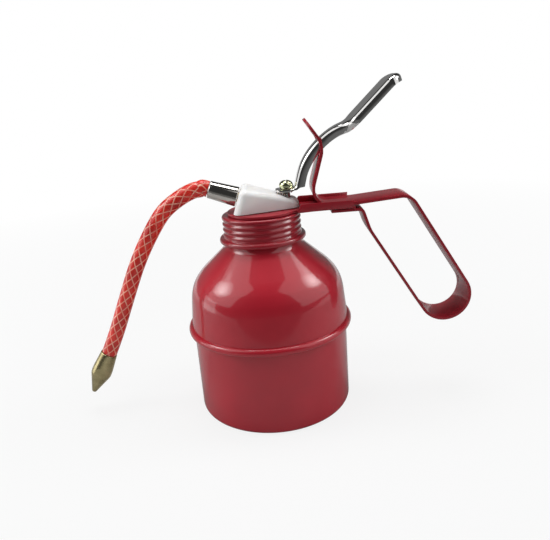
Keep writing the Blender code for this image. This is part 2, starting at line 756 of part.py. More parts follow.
def build_piston_cup(material):
    """Leather cup below the piston, its lip turned down against the cylinder's wall."""
    outer = BARREL_BORE - GAP
    inner = ROD_THIN_R + PRESS_FIT * 2
    high = PISTON_LOW_Z - GAP
    low = PISTON_LOW_Z - CUP_SEAL_H + GAP
    edge = CUP_SEAL_T * 0.6
    outline = [(inner, high), (inner, high - CUP_SEAL_T), (outer - CUP_SEAL_T, high - CUP_SEAL_T),
               (outer - CUP_SEAL_T, low), (outer, low), (outer, high - edge), (outer - edge, high)]
    return put("piston_cup", turned(outline, 16), material, upright(PUMP_X))


def build_spring(material):
    """Closed-ended wire coil between the piston and the stop, swept along a helix."""
    low = piston_top() + GAP + SPRING_WIRE / 2
    high = STOP_TOP_Z - STOP_H - GAP - SPRING_WIRE / 2
    middle_r = SPRING_OUT_R - SPRING_WIRE / 2
    per_turn = 8
    sides = 4
    count = SPRING_TURNS * per_turn
    rings = []
    for i in range(count + 1):
        angle = 2 * math.pi * i / per_turn
        height = low + (high - low) * i / count
        outward = Vector((math.cos(angle), math.sin(angle), 0))
        ring = []
        for k in range(sides):
            turn = 2 * math.pi * k / sides
            radius = middle_r + SPRING_WIRE / 2 * math.cos(turn)
            ring.append(outward * radius + Vector((0, 0, height + SPRING_WIRE / 2 * math.sin(turn))))
        rings.append(ring)
    return put("return_spring", loft(rings), material, upright(PUMP_X), sharp=80)


def valve_seat_z():
    """Floor of the inlet ball's chamber."""
    return BARREL_LOW_Z - GAP - VALVE_DROP


def cage_top():
    """Ceiling of the inlet ball's chamber."""
    return valve_seat_z() + ball_seat(VALVE_BALL_R) + VALVE_LIFT + VALVE_BALL_R + GAP


def ball_seat(radius):
    """Height of a ball's centre over its seat, with a gap."""
    return math.sqrt(radius ** 2 - VALVE_SEAT_R ** 2) + GAP


def build_foot_valve(material):
    """Body at the foot of the cylinder: caged chamber above, stem for the tube below."""
    flange_high = BARREL_LOW_Z - GAP
    flange_low = flange_high - VALVE_FLANGE_H
    spigot = BARREL_BORE - GAP
    stem_low = flange_low - VALVE_STEM_H
    cage = VALVE_BALL_R - CAGE_LIP
    chamber = VALVE_BALL_R + BALL_PLAY
    outline = [(VALVE_STEM_R, stem_low), (VALVE_STEM_R, flange_low), (BARREL_R, flange_low),
               (BARREL_R, flange_high), (spigot, flange_high), (spigot, cage_top() + VALVE_WALL),
               (cage, cage_top() + VALVE_WALL), (cage, cage_top()), (chamber, cage_top()),
               (chamber, valve_seat_z()), (VALVE_SEAT_R, valve_seat_z()),
               (VALVE_SEAT_R, stem_low)]
    return put("foot_valve", turned(outline, 16), material, upright(PUMP_X))


def ball(radius):
    steps = 5
    outline = [(max(0.0, radius * math.sin(math.pi * k / steps)), -radius * math.cos(math.pi * k / steps))
               for k in range(steps + 1)]
    return turned([(0 if k in (0, steps) else r, z) for k, (r, z) in enumerate(outline)], 10)


def build_inlet_ball(material):
    height = valve_seat_z() + ball_seat(VALVE_BALL_R)
    return put("inlet_ball", ball(VALVE_BALL_R), material, Matrix.Translation((PUMP_X, 0, height)), 80)


def build_outlet_ball(material):
    start, direction = spout_axis()
    centre = start + direction * (ball_seat(OUTLET_BALL_R) - CHAMBER_DEPTH)
    return put("outlet_ball", ball(OUTLET_BALL_R), material, along(centre, direction), 80)


def build_suction_tube(material):
    high = BARREL_LOW_Z - GAP * 2 - VALVE_FLANGE_H
    bore = TUBE_R - TUBE_WALL
    outline = [(TUBE_R, TUBE_LOW_Z), (TUBE_R, high), (bore, high), (bore, TUBE_LOW_Z)]
    return put("suction_tube", turned(outline, 16), material, upright(PUMP_X))


# Spout

def build_nipple(material):
    start, direction = spout_axis()
    outer = FERRULE_BORE - GAP
    end = FERRULE_L
    outline = [(NIPPLE_BORE, -NIPPLE_DEPTH), (outer, -NIPPLE_DEPTH), (outer, end - NIPPLE_EDGE),
               (outer - NIPPLE_EDGE, end), (NIPPLE_BORE, end)]
    return put("spout_nipple", turned(outline, 16), material, along(start, direction))


def build_ferrule(material):
    start, direction = spout_axis()
    path = rounded([(FERRULE_BORE, GAP), (FERRULE_HEAD_R, GAP, FERRULE_EDGE),
                    (FERRULE_HOSE_R, FERRULE_L, FERRULE_EDGE), (FERRULE_BORE, FERRULE_L)],
                   math.radians(45))
    return put("spout_ferrule", turned(path, 20), material, along(start, direction))


def smooth_route(route, per_leg=12):
    """Points of a smooth curve through the route's own points."""
    curve = []
    for i in range(len(route) - 1):
        p0 = route[max(0, i - 1)]
        p1, p2 = route[i], route[i + 1]
        p3 = route[min(len(route) - 1, i + 2)]
        for k in range(per_leg):
            t = k / per_leg
            a = (p2 - p0) / 2
            b = (p3 - p1) / 2
            curve.append(p1 * (2 * t ** 3 - 3 * t ** 2 + 1) + a * (t ** 3 - 2 * t ** 2 + t)
                         + p2 * (3 * t ** 2 - 2 * t ** 3) + b * (t ** 3 - t ** 2))
    curve.append(route[-1])
    return curve


def hose_points():
    """Middle of the hose from the ferrule to the nozzle, a point every two diameters."""
    start, direction = spout_axis()
    exit_point = start + direction * (FERRULE_L + GAP)
    nozzle = Vector(NOZZLE_AT)
    back = (nozzle - Vector(NOZZLE_TIP)).normalized()
    end = nozzle + back * GAP
    route = [exit_point + direction * HOSE_LEAD, *map(Vector, HOSE_ROUTE), end + back * HOSE_LEAD]
    curve = smooth_route(route)
    marks = lengths(curve)
    count = max(2, round(marks[-1] / (HOSE_D * 2)))
    middle = [at(curve, marks[-1] * k / count)[0] for k in range(count + 1)]
    return [exit_point, *middle, end]


def build_hose(material):
    points = hose_points()
    curve = bpy.data.curves.new("spout_hose", "CURVE")
    curve.dimensions = "3D"
    curve.bevel_depth = HOSE_D / 2
    curve.bevel_resolution = 4
    curve.use_fill_caps = True
    spline = curve.splines.new("POLY")
    spline.points.add(len(points) - 1)
    for target, point in zip(spline.points, points):
        target.co = (point.x, 0, point.y, 1)
    curve.materials.append(material)
    made = bpy.data.objects.new("spout_hose", curve)
    bpy.context.scene.collection.objects.link(made)
    return made


def build_nozzle(material):
    start = Vector(NOZZLE_AT)
    run = Vector(NOZZLE_TIP) - start
    length = run.length
    outer = rounded([(NOZZLE_SOCKET_R, 0), (NOZZLE_HOSE_R, 0, NOZZLE_EDGE),
                     (NOZZLE_WIDE_R, NOZZLE_WIDE_AT * 0.75, NOZZLE_WIDE_ROUND),
                     (NOZZLE_WIDE_R, NOZZLE_WIDE_AT, NOZZLE_WIDE_ROUND / 2),
                     (NOZZLE_TIP_R, length), (NOZZLE_BORE, length)], math.radians(20))
    outline = [(p.x, p.y) for p in outer] + [(NOZZLE_SOCKET_R, NOZZLE_WIDE_AT)]
    return put("spout_nozzle", turned(outline, 18), material, along(start, run))


# Screw and lever

def build_ball_screw(material):
    """Round head over a ball-shaped underside, with a collar and a shank in the rod."""
    collar_low = ROD_TOP_Z + GAP
    meet = math.asin(ROD_R / BALL_R)
    outline = [(0, ROD_TOP_Z - SHANK_L), (SHANK_R, ROD_TOP_Z - SHANK_L), (SHANK_R, collar_low),
               (ROD_R, collar_low)]
    for k in range(4):
        turn = meet + (math.pi / 2 - meet) * k / 3
        outline.append((BALL_R * math.sin(turn), BALL_Z - BALL_R * math.cos(turn)))
    for k in range(1, 4):
        turn = math.pi / 2 * k / 4
        outline.append((BALL_R * math.cos(turn), BALL_Z + BALL_CROWN * math.sin(turn)))
    outline.append((0, BALL_Z + BALL_CROWN))
    made = put("ball_screw", turned(outline, SCREW_COLUMNS), material, upright(PUMP_X), sharp=50)
    half = DRIVE_SLOT_W / 2
    low = BALL_Z + BALL_CROWN - DRIVE_SLOT_DEPTH
    plan = [(-BALL_R * 1.2, -half), (BALL_R * 1.2, -half), (BALL_R * 1.2, half), (-BALL_R * 1.2, half)]
    turn = Matrix.Rotation(math.radians(-58), 2)
    plan = [turn @ Vector(p) for p in plan]
    slot = loft([[(p.x, p.y, z) for p in plan] for z in (low, BALL_Z + BALL_R)])
    boolean(made, put("screw_slot", slot, cutter_finish, upright(PUMP_X)), "DIFFERENCE")
    return made


def lever_path():
    corners = [(TONGUE_TIP_X, TONGUE_TOP_Z), (TONGUE_CORNER[0], TONGUE_TOP_Z, TONGUE_CORNER[1]),
               LEVER_KNEE, PAD_ROOT, PAD_DROOP, PAD_TIP]
    return rounded([from_rod(corner) for corner in corners], math.radians(10))


def build_lever(material):
    """Pressed channel: flat tongue with the ball's hole, arm, and a wide pad. The flat
    pattern's flange runs round the pad, and the whole is bent along the lever's line."""
    path = lever_path()
    marks = lengths(path)
    total = marks[-1]
    bend_top = TONGUE_TOP_Z + TONGUE_CORNER[1] * BEND_RISE
    corner_end = next(m for m, p in zip(marks, path) if p.y > bend_top)
    pad_root = Vector(from_rod(PAD_ROOT)[:2])
    root = min(range(len(path)), key=lambda i: (path[i] - pad_root).length)
    flare = marks[root] - PAD_FLARE * 0.35
    tip_start = total - PAD_TIP_LENGTH

    def half_width(s):
        return ARM_HALF + (PAD_HALF - ARM_HALF) * smoothstep(flare, flare + PAD_FLARE, s)

    def depth(s):
        return LEVER_DEPTH + (PAD_DEPTH - LEVER_DEPTH) * smoothstep(flare, flare + PAD_FLARE, s)

    apart = LEVER_T / 2
    flare_marks = [flare + PAD_FLARE * k / 5 for k in range(6)]
    arm_marks = [m for m in marks if corner_end + apart < m < flare - apart]
    pad_marks = [m for m in marks if flare + PAD_FLARE + apart < m < tip_start - apart]
    edge = [(s, half_width(s)) for s in [corner_end, *arm_marks, *flare_marks, *pad_marks, tip_start]]
    for degrees in (25, 48, 70):
        turn = math.radians(degrees)
        edge.append((tip_start + PAD_TIP_LENGTH * math.sin(turn), PAD_HALF * math.cos(turn)))
    outline = [Vector((s, h)) for s, h in edge] + [Vector((total, 0))]
    outline += [Vector((s, -h)) for s, h in edge[::-1]]

    bm = bmesh.new()

    def place(s, y, down):
        point, normal = at(path, s)
        spot = point + normal * down
        return bm.verts.new((spot.x, y, spot.y))

    levels = [(0.0, None), (0.0, LEVER_ROUND), (LEVER_ROUND * 0.3, LEVER_ROUND * 0.3),
              (LEVER_ROUND, 0.0)]
    loops = []
    for inset, down in levels:
        line = beside(outline, -inset)
        loop = []
        for base, moved in zip(outline, line):
            loop.append(place(moved.x, moved.y, depth(base.x) if down is None else down))
        loops.append(loop)
    for a, b in zip(loops, loops[1:]):
        for k in range(len(a) - 1):
            bm.faces.new((a[k], a[k + 1], b[k + 1], b[k]))
    web = loops[-1]
    last = len(web) - 1
    for k in range(len(edge)):
        corners = dict.fromkeys((web[k], web[k + 1], web[last - k - 1], web[last - k]))
        bm.faces.new(corners)
    tongue = []
    round_tip = TONGUE_HALF * 0.8
    for degrees in (0, 30, 60, 90):
        s = round_tip * (1 - math.cos(math.radians(degrees)))
        half = TONGUE_HALF - round_tip + round_tip * math.sin(math.radians(degrees))
        tongue.append((s, half))
    tongue += [(m, TONGUE_HALF) for m in marks if round_tip * 1.2 < m < corner_end - LEVER_T / 2]
    rows = [(place(s, h, 0.0), place(s, -h, 0.0)) for s, h in tongue] + [(web[0], web[last])]
    for a, b in zip(rows, rows[1:]):
        bm.faces.new((a[0], b[0], b[1], a[1]))
    bmesh.ops.recalc_face_normals(bm, faces=bm.faces)
    bm.faces.ensure_lookup_table()
    if bm.faces[-1].normal.z < 0 and bm.faces[-len(rows) + 1].normal.z < 0:
        bmesh.ops.reverse_faces(bm, faces=bm.faces)
    made = put_shell("lever", bm, material, LEVER_T)
    reach = BALL_Z - TONGUE_TOP_Z
    radius = math.sqrt((BALL_R + BALL_FIT) ** 2 - reach ** 2)
    low = TONGUE_TOP_Z - LEVER_T - OVERRUN
    high = TONGUE_TOP_Z + OVERRUN
    hole = turned([(0, low), (radius, low), (radius, high), (0, high)], SCREW_COLUMNS)
    boolean(made, put("tongue_hole", hole, cutter_finish, upright(PUMP_X)), "DIFFERENCE")
    return made


# Assembly

for old in list(bpy.data.objects):
    bpy.data.objects.remove(old, do_unlink=True)

cutter_finish = finish("cutter", (0.5, 0.5, 0.5), 0.5)
build_cup(finish("cup_paint", RED, 0.2))
build_shoulder(finish("shoulder_paint", RED, 0.2))
build_gasket(finish("gasket_rubber", (0.02, 0.02, 0.02), 0.7))
build_cap(finish("cap_paint", RED, 0.22))
build_bracket(finish("bracket_paint", RED, 0.25))
build_strap(finish("strap_paint", RED, 0.25))
build_head(finish("head_nylon", (0.78, 0.77, 0.74), 0.35))
build_nut(finish("nut_zinc", (0.6, 0.6, 0.6), 0.35, 1.0))
build_barrel(finish("barrel_brass", (0.70, 0.55, 0.28), 0.3, 1.0))
build_rod_seal(finish("seal_rubber", (0.03, 0.03, 0.03), 0.6))
build_spring_stop(finish("stop_nylon", (0.75, 0.75, 0.72), 0.4))
build_rod(finish("rod_steel", (0.55, 0.55, 0.55), 0.25, 1.0))
build_piston(finish("piston_nylon", (0.75, 0.75, 0.72), 0.4))
build_piston_cup(finish("cup_leather", (0.20, 0.10, 0.05), 0.7))
build_spring(finish("spring_steel", (0.5, 0.5, 0.5), 0.3, 1.0))
build_foot_valve(finish("valve_brass", (0.70, 0.55, 0.28), 0.3, 1.0))
build_inlet_ball(finish("inlet_ball_steel", (0.6, 0.6, 0.6), 0.15, 1.0))
build_outlet_ball(finish("outlet_ball_steel", (0.6, 0.6, 0.6), 0.15, 1.0))
build_suction_tube(finish("tube_plastic", (0.75, 0.75, 0.70), 0.4))
build_nipple(finish("nipple_brass", (0.70, 0.55, 0.28), 0.3, 1.0))
build_ferrule(finish("ferrule_chrome", (0.75, 0.75, 0.75), 0.1, 1.0))
build_hose(finish("hose_vinyl", (0.55, 0.03, 0.02), 0.3))
build_nozzle(finish("nozzle_brass", (0.42, 0.34, 0.16), 0.4, 1.0))
build_ball_screw(finish("screw_brass", (0.50, 0.50, 0.22), 0.2, 1.0))
build_lever(finish("lever_chrome", (0.72, 0.72, 0.72), 0.12, 1.0))
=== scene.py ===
# %% [markdown]
# # A pump oil can in Blender
#
# The object is a workshop oiler: a red can of sheet metal, a screw cap that carries a lever
# pump, a white nylon pump head, a hose spout with a brass nozzle, and a handle bent from one
# strip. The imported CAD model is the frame. Each cell below adds one visible piece on that
# frame, in the same metres, and gives it the finish of the real one.

# %% Load the frame
import math

import bmesh
import bpy
from mathutils import Matrix, Vector


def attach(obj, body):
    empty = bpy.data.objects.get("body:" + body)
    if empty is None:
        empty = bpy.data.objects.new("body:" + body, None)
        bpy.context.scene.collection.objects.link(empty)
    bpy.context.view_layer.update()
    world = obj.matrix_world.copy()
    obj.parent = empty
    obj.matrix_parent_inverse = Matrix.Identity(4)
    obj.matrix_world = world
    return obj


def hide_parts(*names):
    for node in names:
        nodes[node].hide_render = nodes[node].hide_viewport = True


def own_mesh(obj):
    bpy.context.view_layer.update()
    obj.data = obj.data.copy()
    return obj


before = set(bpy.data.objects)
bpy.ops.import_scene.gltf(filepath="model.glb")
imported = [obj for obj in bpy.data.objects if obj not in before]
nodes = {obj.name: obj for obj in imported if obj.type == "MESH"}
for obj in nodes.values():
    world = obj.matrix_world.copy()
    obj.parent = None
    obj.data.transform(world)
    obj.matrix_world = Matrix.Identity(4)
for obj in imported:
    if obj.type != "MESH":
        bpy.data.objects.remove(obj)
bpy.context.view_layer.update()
MM = 0.001


# %% [markdown]
# ## Camera
#
# The camera stands a quarter of a metre away, a little above the can, with a slight roll.
# Its axes are given as directions, because three rotation angles are easily put in the
# wrong order.

# %% Camera
def stand(name, data):
    """An object with this camera, mesh or lamp, linked to the scene."""
    made = bpy.data.objects.new(name, data)
    bpy.context.scene.collection.objects.link(made)
    return made


camera_data = bpy.data.cameras.new("camera")
camera_data.sensor_width = 36.0
camera_data.lens = 37.056
camera_data.clip_start = 0.01
camera = stand("camera", camera_data)
view_right = Vector((0.99669865, -0.02562132, -0.07704121)).normalized()
view_up = Vector((0.0811899, 0.31453094, 0.94576873)).normalized()
view_back = view_right.cross(view_up).normalized()
eye = Vector((4.183, -247.184, 145.902)) * MM
axes = Matrix((view_right, view_up, view_back)).transposed().to_4x4()
camera.matrix_world = Matrix.Translation(eye) @ axes
bpy.context.scene.camera = camera
bpy.context.scene.view_settings.view_transform = "Standard"

# %% [markdown]
# ## Writing shaders as sums
#
# A shader tree is easier to read as a formula. `Value` wraps a socket and overloads the
# operators, so that `1 - mask * 0.5` adds its Math nodes. `Shader` adds every other kind of
# node through one method, and `Finish` is a shader with a material round it.

# %% Shader helpers
class Value:
    """A socket that takes part in Python sums."""

    def __init__(self, tree, socket):
        self.tree = tree
        self.socket = socket

    def math(self, operation, *others):
        node = self.tree.nodes.new("ShaderNodeMath")
        node.operation = operation
        for target, source in zip(node.inputs, (self, *others)):
            feed(self.tree, target, source)
        return Value(self.tree, node.outputs[0])

    def __add__(self, other):
        return self.math("ADD", other)

    def __sub__(self, other):
        return self.math("SUBTRACT", other)

    def __mul__(self, other):
        return self.math("MULTIPLY", other)

    def __rsub__(self, other):
        return (self * -1.0).math("ADD", other)

    __radd__ = __add__


def feed(tree, target, source):
    """Link a Value to a socket, or set the socket to a number or colour."""
    if isinstance(source, Value):
        tree.links.new(source.socket, target)
    else:
        target.default_value = source


class Shader:
    """The node tree of a material or of the world."""

    def __init__(self, tree):
        self.tree = tree

    def node(self, kind, inputs=None, output=0, **settings):
        """Add a node: its settings first, then what goes into its sockets."""
        node = self.tree.nodes.new("ShaderNode" + kind)
        for name, setting in settings.items():
            setattr(node, name, setting)
        for name, source in (inputs or {}).items():
            feed(self.tree, node.inputs[name], source)
        return Value(self.tree, node.outputs[output])

    def spread(self, value, low, high, to_low=0.0, to_high=1.0):
        """The value's range low to high, moved to another range and held there."""
        return self.node("MapRange", {"Value": value, "From Min": low, "From Max": high,
                                      "To Min": to_low, "To Max": to_high})

    def part(self, vector, axis):
        """One coordinate of a vector: 0, 1 or 2 for x, y or z."""
        return self.node("SeparateXYZ", {0: vector}, output=axis)


class Finish(Shader):
    """A material with a Principled shader."""

    def __init__(self, name, **sockets):
        self.material = bpy.data.materials.new(name)
        self.material.use_nodes = True
        super().__init__(self.material.node_tree)
        self.shader = self.tree.nodes["Principled BSDF"]
        self.set(**sockets)

    def set(self, **sockets):
        for name, source in sockets.items():
            feed(self.tree, self.shader.inputs[name.replace("_", " ")], source)

    def place(self):
        """The piece's own coordinates, in metres."""
        return self.node("TexCoord", output="Object")

    def noise(self, scale, detail=3.0, vector=None, roughness=0.5):
        """Cloudy noise, scale times per metre."""
        return self.node("TexNoise", {"Vector": vector or self.place(), "Scale": scale,
                                      "Detail": detail, "Roughness": roughness})

    def blend(self, factor, first, second):
        return self.node("Mix", {0: factor, 6: first, 7: second}, output=2, data_type="RGBA")

    def bump(self, height, distance, strength=1.0, normal=None):
        inputs = {"Height": height, "Distance": distance, "Strength": strength}
        if normal:
            inputs["Normal"] = normal
        return self.node("Bump", inputs)


def colour(red, green, blue):
    return (red, green, blue, 1.0)


def shaded(tint, share=1.0):
    """A tint as a colour, darker where the share is under 1."""
    return colour(*(part * share for part in tint))


# %% [markdown]
# ## Paint
#
# The can, cap, bracket and handle are dipped in one red enamel. Real enamel is never quite
# flat: it has a slow waviness called orange peel, it lies a little thicker in one place than
# in another, and fine dust settles in it. A clear coat gives the sharp reflections, and a
# rougher base below it gives the soft pink glow round them. The cap, bracket and handle are
# given a darker red than the can, and the handle and bracket have less clear coat on them.

# %% Red enamel
RED = (0.46, 0.009, 0.024)
MAROON = (0.34, 0.008, 0.020)
THIN_COAT = 0.85
RUNS, PEEL, DUST = 60.0, 300.0, 2600.0    # noise per metre


def enamel(name, tint, base_roughness=0.42, coat=1.0):
    paint = Finish(name, Specular_IOR_Level=0.25, Coat_Weight=coat, Coat_Roughness=0.08, Coat_IOR=1.5)
    thickness = paint.spread(paint.noise(RUNS, 2.0), 0.25, 0.75)
    specks = paint.spread(paint.noise(DUST, 1.0), 0.70, 0.78)
    peel = paint.bump(paint.noise(PEEL, 2.0), 0.03 * MM, 0.25)
    paint.set(Base_Color=paint.blend(thickness, shaded(tint, THIN_COAT), shaded(tint)),
              Roughness=base_roughness + specks * 0.15,
              Normal=paint.bump(specks, 0.02 * MM, 0.5, peel))
    return paint.material


can_paint = enamel("can_paint", RED)
cap_paint = enamel("cap_paint", MAROON, 0.44)
metalwork_paint = enamel("metalwork_paint", MAROON, 0.46, 0.5)

# %% [markdown]
# ## Metals and plastics
#
# Bright plating is a mirror that is never perfectly clean, so its roughness varies with a
# fine noise stretched along one axis, like wiping marks. Brass darkens in cloudy patches.
# The nylon of the head lets some light in, which softens its shading.

# %% Other finishes
LENGTHWISE, CROSSWISE, TURNED = (4.0, 1.0, 1.0), (1.0, 6.0, 1.0), (1.0, 1.0, 8.0)


def plated(name, tint, roughness, smear=(1.0, 1.0, 1.0)):
    metal = Finish(name, Metallic=1.0)
    wiped = metal.node("Mapping", {"Vector": metal.place(), "Scale": smear})
    marks = metal.noise(900.0, 4.0, wiped)
    cloud = metal.spread(metal.noise(120.0, 2.0), 0.3, 0.7)
    metal.set(Base_Color=metal.blend(cloud, shaded(tint, 0.8), shaded(tint)),
              Roughness=metal.spread(marks, 0.3, 0.75, roughness * 0.7, roughness * 1.6),
              Normal=metal.bump(marks, 0.004 * MM, 0.4))
    return metal.material


def tarnished_brass():
    metal = Finish("tarnished_brass", Metallic=1.0)
    age = metal.spread(metal.noise(220.0, 4.0, roughness=0.55), 0.25, 0.75)
    metal.set(Base_Color=metal.blend(age, colour(0.36, 0.31, 0.16), colour(0.62, 0.53, 0.29)),
              Roughness=0.30 - age * 0.10,
              Normal=metal.bump(metal.noise(1500.0, 3.0), 0.01 * MM, 0.5))
    return metal.material


def passivated():
    """Zinc plating with a thin yellow film that shifts to green and rose."""
    metal = Finish("yellow_passivated", Metallic=1.0, Roughness=0.10)
    film = metal.noise(300.0, 2.0)
    thin = metal.blend(metal.spread(film, 0.3, 0.5), colour(0.52, 0.58, 0.36), colour(0.74, 0.74, 0.46))
    thick = metal.blend(metal.spread(film, 0.5, 0.7), thin, colour(0.66, 0.56, 0.42))
    metal.set(Base_Color=thick, Normal=metal.bump(metal.noise(2000.0), 0.005 * MM, 0.4))
    return metal.material


def moulded(name, tint, roughness=0.38):
    plastic = Finish(name, Subsurface_Weight=0.25, Subsurface_Scale=2 * MM)
    plastic.shader.inputs["Subsurface Radius"].default_value = (1.0, 0.9, 0.8)
    cloud = plastic.spread(plastic.noise(180.0, 3.0), 0.3, 0.7)
    grain = plastic.noise(3500.0, 2.0)
    plastic.set(Base_Color=plastic.blend(cloud, shaded(tint, 0.94), shaded(tint)),
                Roughness=plastic.spread(grain, 0.3, 0.7, roughness * 0.85, roughness * 1.2),
                Normal=plastic.bump(grain, 0.01 * MM, 0.35))
    return plastic.material


def dull(name, tint, roughness, scale=1500.0):
    """Rubber and leather: dark, matt, with a fine grain."""
    stuff = Finish(name)
    grain = stuff.noise(scale, 4.0)
    stuff.set(Base_Color=stuff.blend(grain, shaded(tint, 0.6), shaded(tint)),
              Roughness=stuff.spread(grain, 0.3, 0.7, roughness * 0.8, roughness),
              Normal=stuff.bump(grain, 0.03 * MM, 0.5))
    return stuff.material


lever_chrome = plated("lever_chrome", (0.74, 0.73, 0.72), 0.07, CROSSWISE)
ferrule_nickel = plated("ferrule_nickel", (0.72, 0.69, 0.64), 0.10, LENGTHWISE)
turned_steel = plated("turned_steel", (0.62, 0.61, 0.59), 0.20, TURNED)
spring_wire = plated("spring_wire", (0.42, 0.41, 0.40), 0.24)
turned_brass = plated("turned_brass", (0.74, 0.58, 0.30), 0.22, TURNED)
nozzle_brass = tarnished_brass()
screw_zinc = passivated()
head_nylon = moulded("head_nylon", (0.96, 0.955, 0.94))
inner_nylon = moulded("inner_nylon", (0.76, 0.75, 0.70), 0.45)
black_rubber = dull("black_rubber", (0.035, 0.035, 0.035), 0.75)
oiled_leather = dull("oiled_leather", (0.20, 0.11, 0.06), 0.65, 900.0)

# %% [markdown]
# The parts inside the pump are plain turnings and mouldings. The CAD model's own meshes
# serve for them and only need a finish.

# %% Finish of the inner parts
carried_over = [(turned_steel, ["head_lock_nut", "piston_rod", "inlet_ball", "outlet_ball"]),
                (turned_brass, ["pump_barrel", "foot_valve", "spout_nipple"]),
                (inner_nylon, ["spring_stop", "piston", "suction_tube"]),
                (black_rubber, ["rod_seal", "cap_gasket"]),
                (oiled_leather, ["piston_cup"])]
for material, names in carried_over:
    for name in names:
        nodes[name].data.materials.clear()
        nodes[name].data.materials.append(material)
    print(f"{material.name}: {', '.join(names)}")

# %% [markdown]
# ## From a drawn line to a piece
#
# Most of the oiler is turned or pressed, so most pieces start as a line. `line` joins
# corners with edges, and a vertex bevel rounds each corner, as a file would. `turn` spins the
# line round the Z axis. `keep` makes the finished object, which rides on a CAD body and
# stands for the CAD node of the same part.

# %% Modelling helpers
ARC = 10    # segments in a rounded corner


def bevel(bm, geom, offset, segments, affect="EDGES"):
    bmesh.ops.bevel(bm, geom=geom, offset=offset, offset_type="OFFSET", segments=segments,
                    profile=0.5, affect=affect, material=-1, clamp_overlap=False)


def face_out(bm):
    """Make every face look outward."""
    bmesh.ops.recalc_face_normals(bm, faces=bm.faces[:])


def turn_over(bm, wrong):
    """Reverse every face where they look the wrong way."""
    if wrong:
        bmesh.ops.reverse_faces(bm, faces=bm.faces[:])


def move(bm, by, verts=None):
    bmesh.ops.translate(bm, vec=by, verts=verts or bm.verts[:])


def new_verts(geom):
    """The vertices among what a bmesh operator made."""
    return [item for item in geom if isinstance(item, bmesh.types.BMVert)]


def pull(bm):
    """Extrude a flat face, and give the new vertices, which are still to be moved."""
    return new_verts(bmesh.ops.extrude_face_region(bm, geom=bm.faces[:])["geom"])


def close_ends(bm):
    bmesh.ops.holes_fill(bm, edges=[e for e in bm.edges if e.is_boundary], sides=0)


def round_corners(bm, verts, corners, segments):
    """A corner's third number is its reach: how far from it the rounding starts."""
    for vert, corner in zip(verts, corners):
        if len(corner) > 2:
            bevel(bm, [vert], corner[2], segments, "VERTICES")


def line(bm, corners, closed=False, segments=ARC):
    """Edges through (x, z, reach) corners."""
    verts = [bm.verts.new((corner[0], 0.0, corner[1])) for corner in corners]
    pairs = list(zip(verts, verts[1:])) + ([(verts[-1], verts[0])] if closed else [])
    for first, second in pairs:
        bm.edges.new((first, second))
    round_corners(bm, verts, corners, segments)


def spun(bm, steps, weld=1e-6):
    """Spin a line once round Z, and weld what meets on the axis."""
    bmesh.ops.spin(bm, geom=bm.verts[:] + bm.edges[:], cent=(0, 0, 0), axis=(0, 0, 1),
                   angle=math.tau, steps=steps, use_merge=True)
    bmesh.ops.remove_doubles(bm, verts=bm.verts[:], dist=weld)
    face_out(bm)
    return bm


def turn(corners, closed=False, steps=128, segments=ARC):
    """A bmesh turned about Z from a line of (radius, z, reach) corners."""
    bm = bmesh.new()
    line(bm, corners, closed, segments)
    return spun(bm, steps)


def thicken(bm, thickness):
    """Give a turned sheet its thickness, all of it on the inside of the wall."""
    outward = sum(face.calc_area() * face.normal.dot((*face.calc_center_median().xy, 0))
                  for face in bm.faces)
    turn_over(bm, outward < 0)
    bmesh.ops.solidify(bm, geom=bm.faces[:], thickness=thickness)


def along(start, end):
    """Matrix that stands Z along the line from start to end, both (x, z)."""
    axis = Vector((end[0] - start[0], 0, end[1] - start[1])).normalized()
    side = Vector((0, 1, 0))
    return Matrix.Translation((start[0], 0, start[1])) @ Matrix(
        (side.cross(axis), side, axis)).transposed().to_4x4()


# %% [markdown]
# The next helpers work on objects: sheet gets its thickness, holes and slots are cut, and
# edges are broken last, as in a workshop.

# %% Object helpers
def to_object(name, bm):
    mesh = bpy.data.meshes.new(name)
    bm.to_mesh(mesh)
    bm.free()
    return stand(name, mesh)


def smooth_faces(mesh, sharp):
    """Smooth shading, with the edges above an angle kept crisp."""
    mesh.shade_smooth()
    mesh.set_sharp_from_angle(angle=math.radians(sharp))


def keep(name, bm, material, body, stands_for, sharp=40.0, matrix=None):
    """Make the object, shade it, and tie it to its CAD body and nodes."""
    if matrix:
        bmesh.ops.transform(bm, matrix=matrix, verts=bm.verts[:])
    piece = to_object(name, bm)
    smooth_faces(piece.data, sharp)
    piece.data.materials.append(material)
    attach(piece, body)
    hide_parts(*stands_for)
    print(f"{name}: {len(piece.data.polygons)} faces")
    return piece


def modify(piece, kind, sharp=32.0, **settings):
    """Put a modifier on the piece and turn its result into mesh."""
    modifier = piece.modifiers.new(kind, kind)
    for name, setting in settings.items():
        setattr(modifier, name, setting)
    depsgraph = bpy.context.evaluated_depsgraph_get()
    depsgraph.update()
    result = bpy.data.meshes.new_from_object(piece.evaluated_get(depsgraph))
    piece.modifiers.clear()
    piece.data = result
    smooth_faces(result, sharp)


def give_wall(piece, thickness, offset=-1.0):
    """Thickness for a bent pattern: behind its face, or half on each side with offset 0."""
    modify(piece, "SOLIDIFY", thickness=thickness, offset=offset, use_even_offset=True)


def cut(piece, tool_bm, operation="DIFFERENCE"):
    """Boolean with a tool that is thrown away afterwards."""
    face_out(tool_bm)
    tool = to_object("tool", tool_bm)
    modify(piece, "BOOLEAN", operation=operation, solver="EXACT", object=tool)
    bpy.data.objects.remove(tool)


def bar(radius, length, matrix, steps=64):
    """Cylinder with its middle at the matrix, used as a drill."""
    bm = bmesh.new()
    bmesh.ops.create_cone(bm, cap_ends=True, segments=steps, radius1=radius, radius2=radius,
                          depth=length, matrix=matrix)
    return bm


